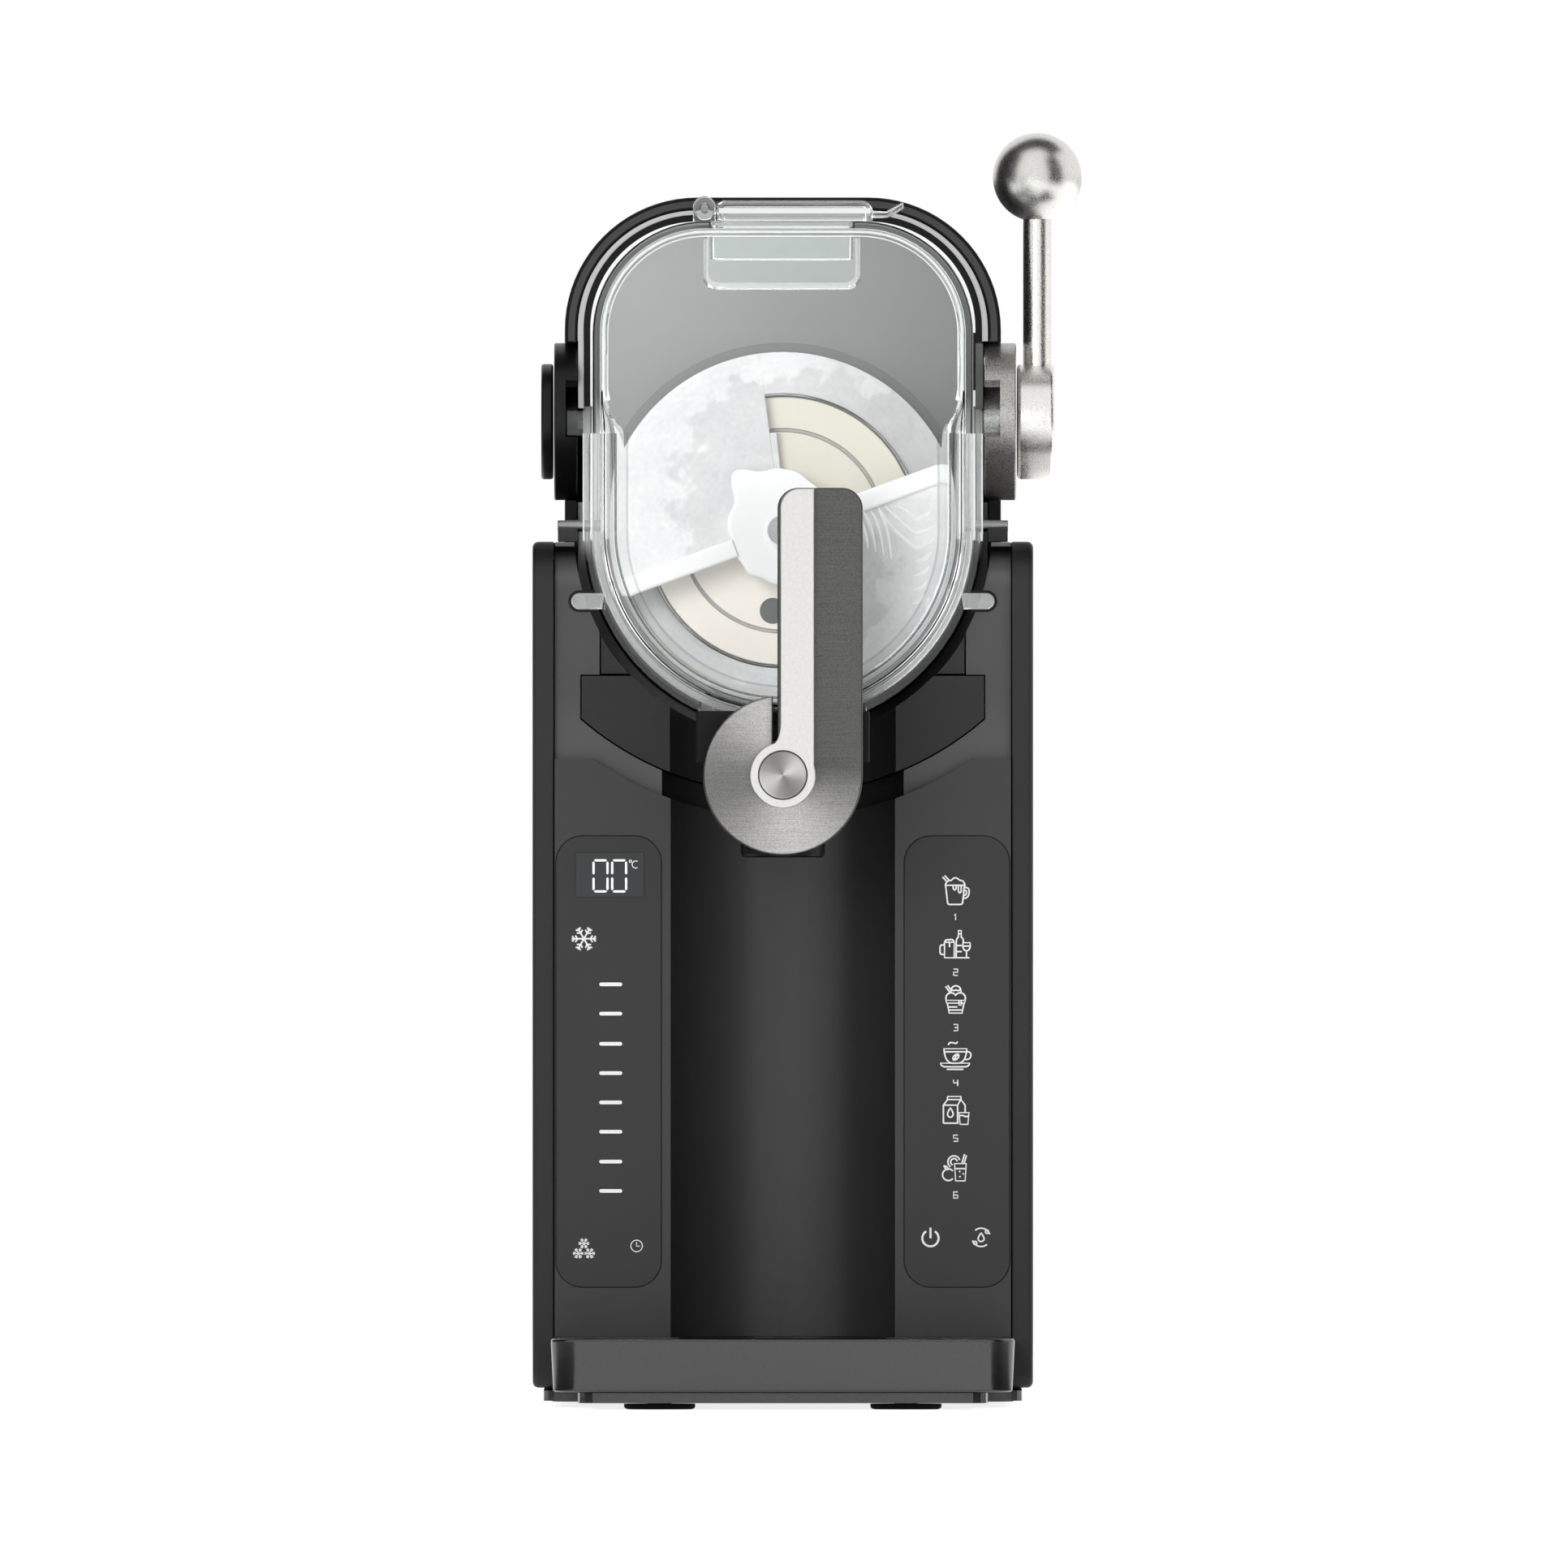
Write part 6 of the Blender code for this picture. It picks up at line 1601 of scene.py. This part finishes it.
def sundae():
    return [
        path((-3.5, -0.2), (3.5, -0.2), (3.2, -1.2), (-3.2, -1.2), closed=True),
        path((-3.0, -1.2), (-2.3, -4.8), (2.3, -4.8), (3.0, -1.2)),
        path((-2.6, -2.6), (0.6, -2.6)),
        path((-2.4, -3.7), (2.5, -3.7)),
        arc_line(-1.6, 0.6, 1.9, 25, 200, 16),
        arc_line(1.6, 0.6, 1.9, -20, 155, 16),
        arc_line(0.1, 3.2, 1.8, -25, 205, 18),
        path((-1.4, 3.7, -0.6, 2.9, 0.1, 3.6), (0.9, 2.9, 1.6, 3.7)),
        path((1.2, -0.2), (1.2, -1.9), (2.0, -1.9), (2.0, -0.2)),
        path((-3.6, 4.8), (-1.9, 2.4)),
        path((-2.9, 5.2), (-1.4, 3.1))]


def cup_and_saucer():
    bean = []
    for u, v in circle(0, 0, 1, 20):
        long, short = 1.25 * u * 0.75, 0.9 * v * 0.6
        bean.append((0.1 + long - short, -0.4 + long + short))
    return [
        path((-4.2, 2.6), (4.0, 2.6), (3.7, -2.4, 1.0, -2.6, 10), (-1.2, -2.6), (-3.9, -2.4, -4.2, 2.6, 10),
             closed=True),
        path((-3.9, 1.5), (3.6, 1.5)),
        path((3.9, 1.6, 5.8, 1.6, 5.4, -0.2), (4.9, -1.6, 3.2, -1.2, 6)),
        path((-5.4, -2.6), (5.0, -2.6), (4.8, -3.8, 3.4, -3.9, 5), (-3.8, -3.9), (-5.2, -3.8, -5.4, -2.6, 5),
             closed=True),
        path((-3.2, -4.8), (2.8, -4.8)),
        path((-2.6, 3.9, -2.4, 5.2, -0.8, 4.7), (0.6, 4.2, 0.6, 5.2)),
        (bean, True),
        path((-0.6, -1.1, 0.3, -0.7, 0.0, -0.3), (0.0, 0.0, 0.8, 0.3))]


def carton_and_glass():
    return [
        path((-4.4, -4.6), (-4.4, 1.9), (-2.9, 3.9), (1.9, 3.9), (3.4, 1.9), (3.4, -0.6)),
        path((-4.4, -4.6), (1.0, -4.6)),
        path((-4.4, 1.9), (0.7, 1.9), (1.9, 3.9)),
        path((0.7, 1.9), (0.7, -4.6)),
        path((-2.9, 3.9), (-2.9, 5.0), (1.9, 5.0), (1.9, 3.9)),
        drop_line((-1.9, 0.9), (-0.6, -0.9, -1.0, -1.9, 6), (-1.9, -3.0, -2.8, -1.9, 6),
                  (-3.2, -0.9, -1.9, 0.9, 6)),
        path((1.2, -0.8), (4.8, -0.8), (4.4, -5.0), (1.6, -5.0), closed=True),
        path((1.4, -2.0, 2.2, -1.6, 3.0, -2.0), (3.8, -2.4, 4.6, -2.0))]


def fruit_and_glass():
    return [
        path((-0.4, 1.4), (3.8, 1.4), (3.4, -4.8), (0.0, -4.8), closed=True),
        path((-0.2, -0.4), (3.6, -0.4)),
        path((2.2, 1.4), (3.2, 4.8)),
        path((3.0, 1.4), (3.9, 4.4)),
        arc_line(-0.6, 2.0, 2.2, 20, 235, 18),
        arc_line(-0.6, 2.0, 1.2, 10, 245, 12),
        arc_line(-2.6, -2.6, 2.1, 40, 320, 22),
        path((-2.6, -0.8, -3.0, 0.6, -4.2, 0.6), (-3.8, -0.6, -2.6, -0.8)),
        *[path((u, v), (u + 0.5, v + 0.3)) for u, v in ((1.2, -1.6), (2.5, -2.4), (1.3, -3.4))]]


# Numbers 1 to 6 drawn with straight lines from corner to corner.
CORNERS = {
    "A": (-0.7, 1.05), "B": (0.7, 1.05), "C": (0.7, 0), "D": (-0.7, 0), "E": (-0.7, -1.05),
    "F": (0.7, -1.05), "G": (-0.35, 0), "H": (-0.42, 0.45), "J": (0, 1.05), "K": (0, -1.05)}
DIGITS = ("HJK", "ABCDEF", "ABFE GC", "ADC BF", "BADCFE", "BAEFCD")


def panel_marks():
    """Printed signs: numbered drinks on the right, snowflakes, a clock and level bars on the left."""
    column = 58.4
    icons = (mug, bottle_and_glasses, sundae, cup_and_saucer, carton_and_glass, fruit_and_glass)
    marks, numbers = [], []
    for icon, z in zip(icons, (174.6, 156.5, 137.8, 118.8, 100.4, 81.1)):
        marks += moved(icon(), column, z, 0.94)
    for digit, z in zip(DIGITS, (165.8, 147.1, 128.4, 109.7, 91.0, 71.8)):
        numbers += moved([path(*[CORNERS[c] for c in line]) for line in digit.split()], column, z)
    marks += [arc_line(67, 57.5, 3.1, 20, 130, 14), arc_line(67, 57.5, 3.1, 200, 310, 14)]
    marks += [ring_line(69.0, 59.4, 0.55, 12), ring_line(65.0, 55.6, 0.55, 12)]
    drop = drop_line((0, 1.9), (1.5, -0.2, 1.1, -0.9, 6), (0, -2.2, -1.1, -0.9), (-1.5, -0.2, 0, 1.9, 6))
    strokes("right_panel_marks", marks + moved([drop], 67, 57.4, 0.85), 0.54)
    strokes("right_panel_numbers", numbers, 0.44)
    power = [arc_line(49.9, 57.2, 2.75, 122, 418, 40), path((49.9, 60.8), (49.9, 57.2))]
    strokes("power_mark", power, 0.75)

    left = -67.2
    strokes("snow_mark", moved(snowflake(4.1, 1.35), left, 158.4), 0.58)
    small = []
    for u, v in ((0, 1.75), (-1.95, -1.6), (1.95, -1.6)):
        small += moved(snowflake(1.75, 0.62), left + u, 53.7 + v)
    small += [ring_line(-49.4, 54.6, 1.95), path((-49.4, 55.9), (-49.4, 54.5), (-48.3, 54.5))]
    strokes("left_panel_marks", small, 0.34)
    heights = (143.0, 133.1, 122.9, 113.0, 103.1, 93.2, 83.1, 73.2)
    bars = [rounded_box(-62.0, -54.3, z - 0.62, z + 0.62, 0.55, 5) for z in heights]
    bars = slabs(bars, FASCIA_FRONT - PRINT, PRINT_BACK, "Y", 0.04)
    piece("level_marks", bars, "body", "white_print", ())


def display_digits():
    """Two seven-segment zeros, lit, with the degree mark beside them."""
    bars = []
    half = 0.38
    for middle in (-61.6, -55.3):
        for x in (middle - 2.35, middle + 2.35):
            for low, high in ((174.75, 179.2), (180.1, 184.55)):
                ends = [(x, low), (x + half, low + half), (x + half, high - half), (x, high)]
                bars.append(ends + [(x - half, high - half), (x - half, low + half)])
        low, high = middle - 2.2, middle + 2.2
        for z in (174.4, 184.9):
            ends = [(low, z), (low + half, z - half), (high - half, z - half)]
            bars.append(ends + [(high, z), (high - half, z + half), (low + half, z + half)])
    bars = slabs(bars, FASCIA_FRONT - PRINT, PRINT_BACK, "Y", 0.03, steps=2)
    piece("display_digits", bars, "body", "display_light", ())
    sign = [ring_line(-51.5, 184.6, 0.4, 14), arc_line(-49.7, 183.5, 1.2, 60, 300, 18)]
    strokes("display_sign", sign, 0.28, "display_light")


# Stage, light and camera

def stage_look(name, level, seen, reflected):
    """A surface that glows toward the camera, and by another strength in mirrors and clear pieces."""
    made = bpy.data.materials.new(name)
    made.use_nodes = True
    tree = made.node_tree
    tree.nodes.clear()
    rays = add(tree, "ShaderNodeLightPath").outputs
    bent = calc(tree, "MAXIMUM", rays["Is Glossy Ray"], rays["Is Transmission Ray"])
    first = calc(tree, "MULTIPLY", rays["Is Camera Ray"], seen)
    strength = calc(tree, "MULTIPLY_ADD", bent, reflected, first)
    glow = add(tree, "ShaderNodeEmission", {"Color": (1, 1, 1, 1), "Strength": strength}).outputs[0]
    pale = add(tree, "ShaderNodeBsdfDiffuse", {"Color": (level, level, level, 1)}).outputs[0]
    both = add(tree, "ShaderNodeAddShader", {0: glow, 1: pale}).outputs[0]
    add(tree, "ShaderNodeOutputMaterial", {"Surface": both})
    return made


def staged(name, shape, look):
    """A piece of the stage, which isn't part of the machine."""
    mesh = as_mesh(name, shape)
    mesh.materials.append(look)
    made = linked(name, mesh)
    return made


def make_stage():
    shape = bmesh.new()
    bmesh.ops.create_grid(shape, x_segments=1, y_segments=1, size=60)
    staged("floor", shape, stage_look("floor_white", 0.8, 0.8, 0.45))
    world = bpy.data.worlds.new("studio")
    world.use_nodes = True
    bpy.context.scene.world = world
    tree = world.node_tree
    tree.nodes.clear()
    rays = add(tree, "ShaderNodeLightPath").outputs
    first = calc(tree, "MAXIMUM", rays["Is Camera Ray"], rays["Is Glossy Ray"])
    seen = calc(tree, "MAXIMUM", first, rays["Is Transmission Ray"])
    level = limits(tree, seen, 0.0, 1.0, AMBIENT)
    sky = add(tree, "ShaderNodeBackground", {"Color": (1, 1, 1, 1), "Strength": level}).outputs[0]
    add(tree, "ShaderNodeOutputWorld", {"Surface": sky})


def lamp(name, place, target, size, power):
    data = bpy.data.lights.new(name, "AREA")
    data.shape = "DISK"
    data.size = size
    data.energy = power
    made = linked(name, data)
    made.location = place
    made.rotation_euler = (Vector(target) - Vector(place)).to_track_quat("-Z", "Y").to_euler()
    made.visible_camera = False
    made.visible_glossy = False


def make_lights():
    lamp("key", (-0.75, -2.5, 0.75), (0, -0.05, 0.22), 1.1, 36)
    lamp("fill", (1.3, -2.1, 0.4), (0, 0, 0.22), 1.2, 9)
    lamp("top", (0, 0.3, 2.4), (0, 0.1, 0.25), 1.2, 20)
    lamp("rear", (0.7, 2.3, 1.2), (0, 0, 0.25), 1.2, 26)
    for side, name in HANDS:
        lamp(name, (side * 2.3, 0.4, 0.7), (0, 0.1, 0.22), 1.2, 26)


def flag(name, corners):
    """A dark card that only mirrors see."""
    shape = bmesh.new()
    shape.faces.new([shape.verts.new(p) for p in corners])
    made = staged(name, shape, stage_look(name + "_look", 0.0, 0.0, 0.02))
    made.visible_camera = False
    made.visible_diffuse = False
    made.visible_transmission = False
    made.visible_shadow = False


def standing_flag(name, start, end, reach=1.5, low=0.02, high=2.2):
    """An upright card between two azimuths from the front, in degrees."""
    ends = [(reach * math.sin(math.radians(a)), -reach * math.cos(math.radians(a))) for a in (start, end)]
    flag(name, [(x, y, low) for x, y in ends] + [(x, y, high) for x, y in ends[::-1]])


def make_flags():
    """Dark cards that draw dark bands on metal, on gloss and in the hollow niche."""
    standing_flag("right_flag", 33, 71)
    standing_flag("left_flag", -58, -138)
    outline = [(-1.3, -0.25), (0.4, -0.25), (1.1, -0.75), (1.5, 0.75), (0.5, 1.0), (-1.3, 1.0)]
    flag("top_flag", [(x, y, 1.95) for x, y in outline])
    outline = [(0.078, -0.192), (0.2, -0.5), (0.45, -0.5), (0.45, -0.1), (0.12, -0.1)]
    for side, hand in HANDS:
        flag(f"{hand}_floor_flag", [(side * x + MIDDLE_X * MM, y, 0.001) for x, y in outline])


def make_camera():
    data = bpy.data.cameras.new("camera")
    data.sensor_width = SENSOR
    data.lens = SENSOR * (SCALE_PLANE * MM - CAMERA_PLACE.y) / PHOTO_WIDTH
    data.clip_end = 300.0
    made = linked("camera", data)
    made.location = CAMERA_PLACE
    made.rotation_euler = (math.radians(90), 0, 0)
    bpy.context.scene.camera = made


def main():
    bpy.context.scene.view_settings.view_transform = "Standard"
    for build in (
            make_looks, dress_cad, feet, side_panels, rear_panel, front_fascia, control_panels,
            upper_front_panel, trough_front, condensation_catch, drip_tray, drip_grid, tower_shell,
            tower_front_plate, tower_trim, port_skirt, vessel_fittings, vessel, vessel_seals, flange_trim,
            face_lines, port_edge, fill_lid, spigot_body, tap_handle, handle_strip, evaporator, auger,
            lock_discs, lever, panel_marks, display_digits, make_stage, make_lights, make_flags, make_camera):
        build()


main()
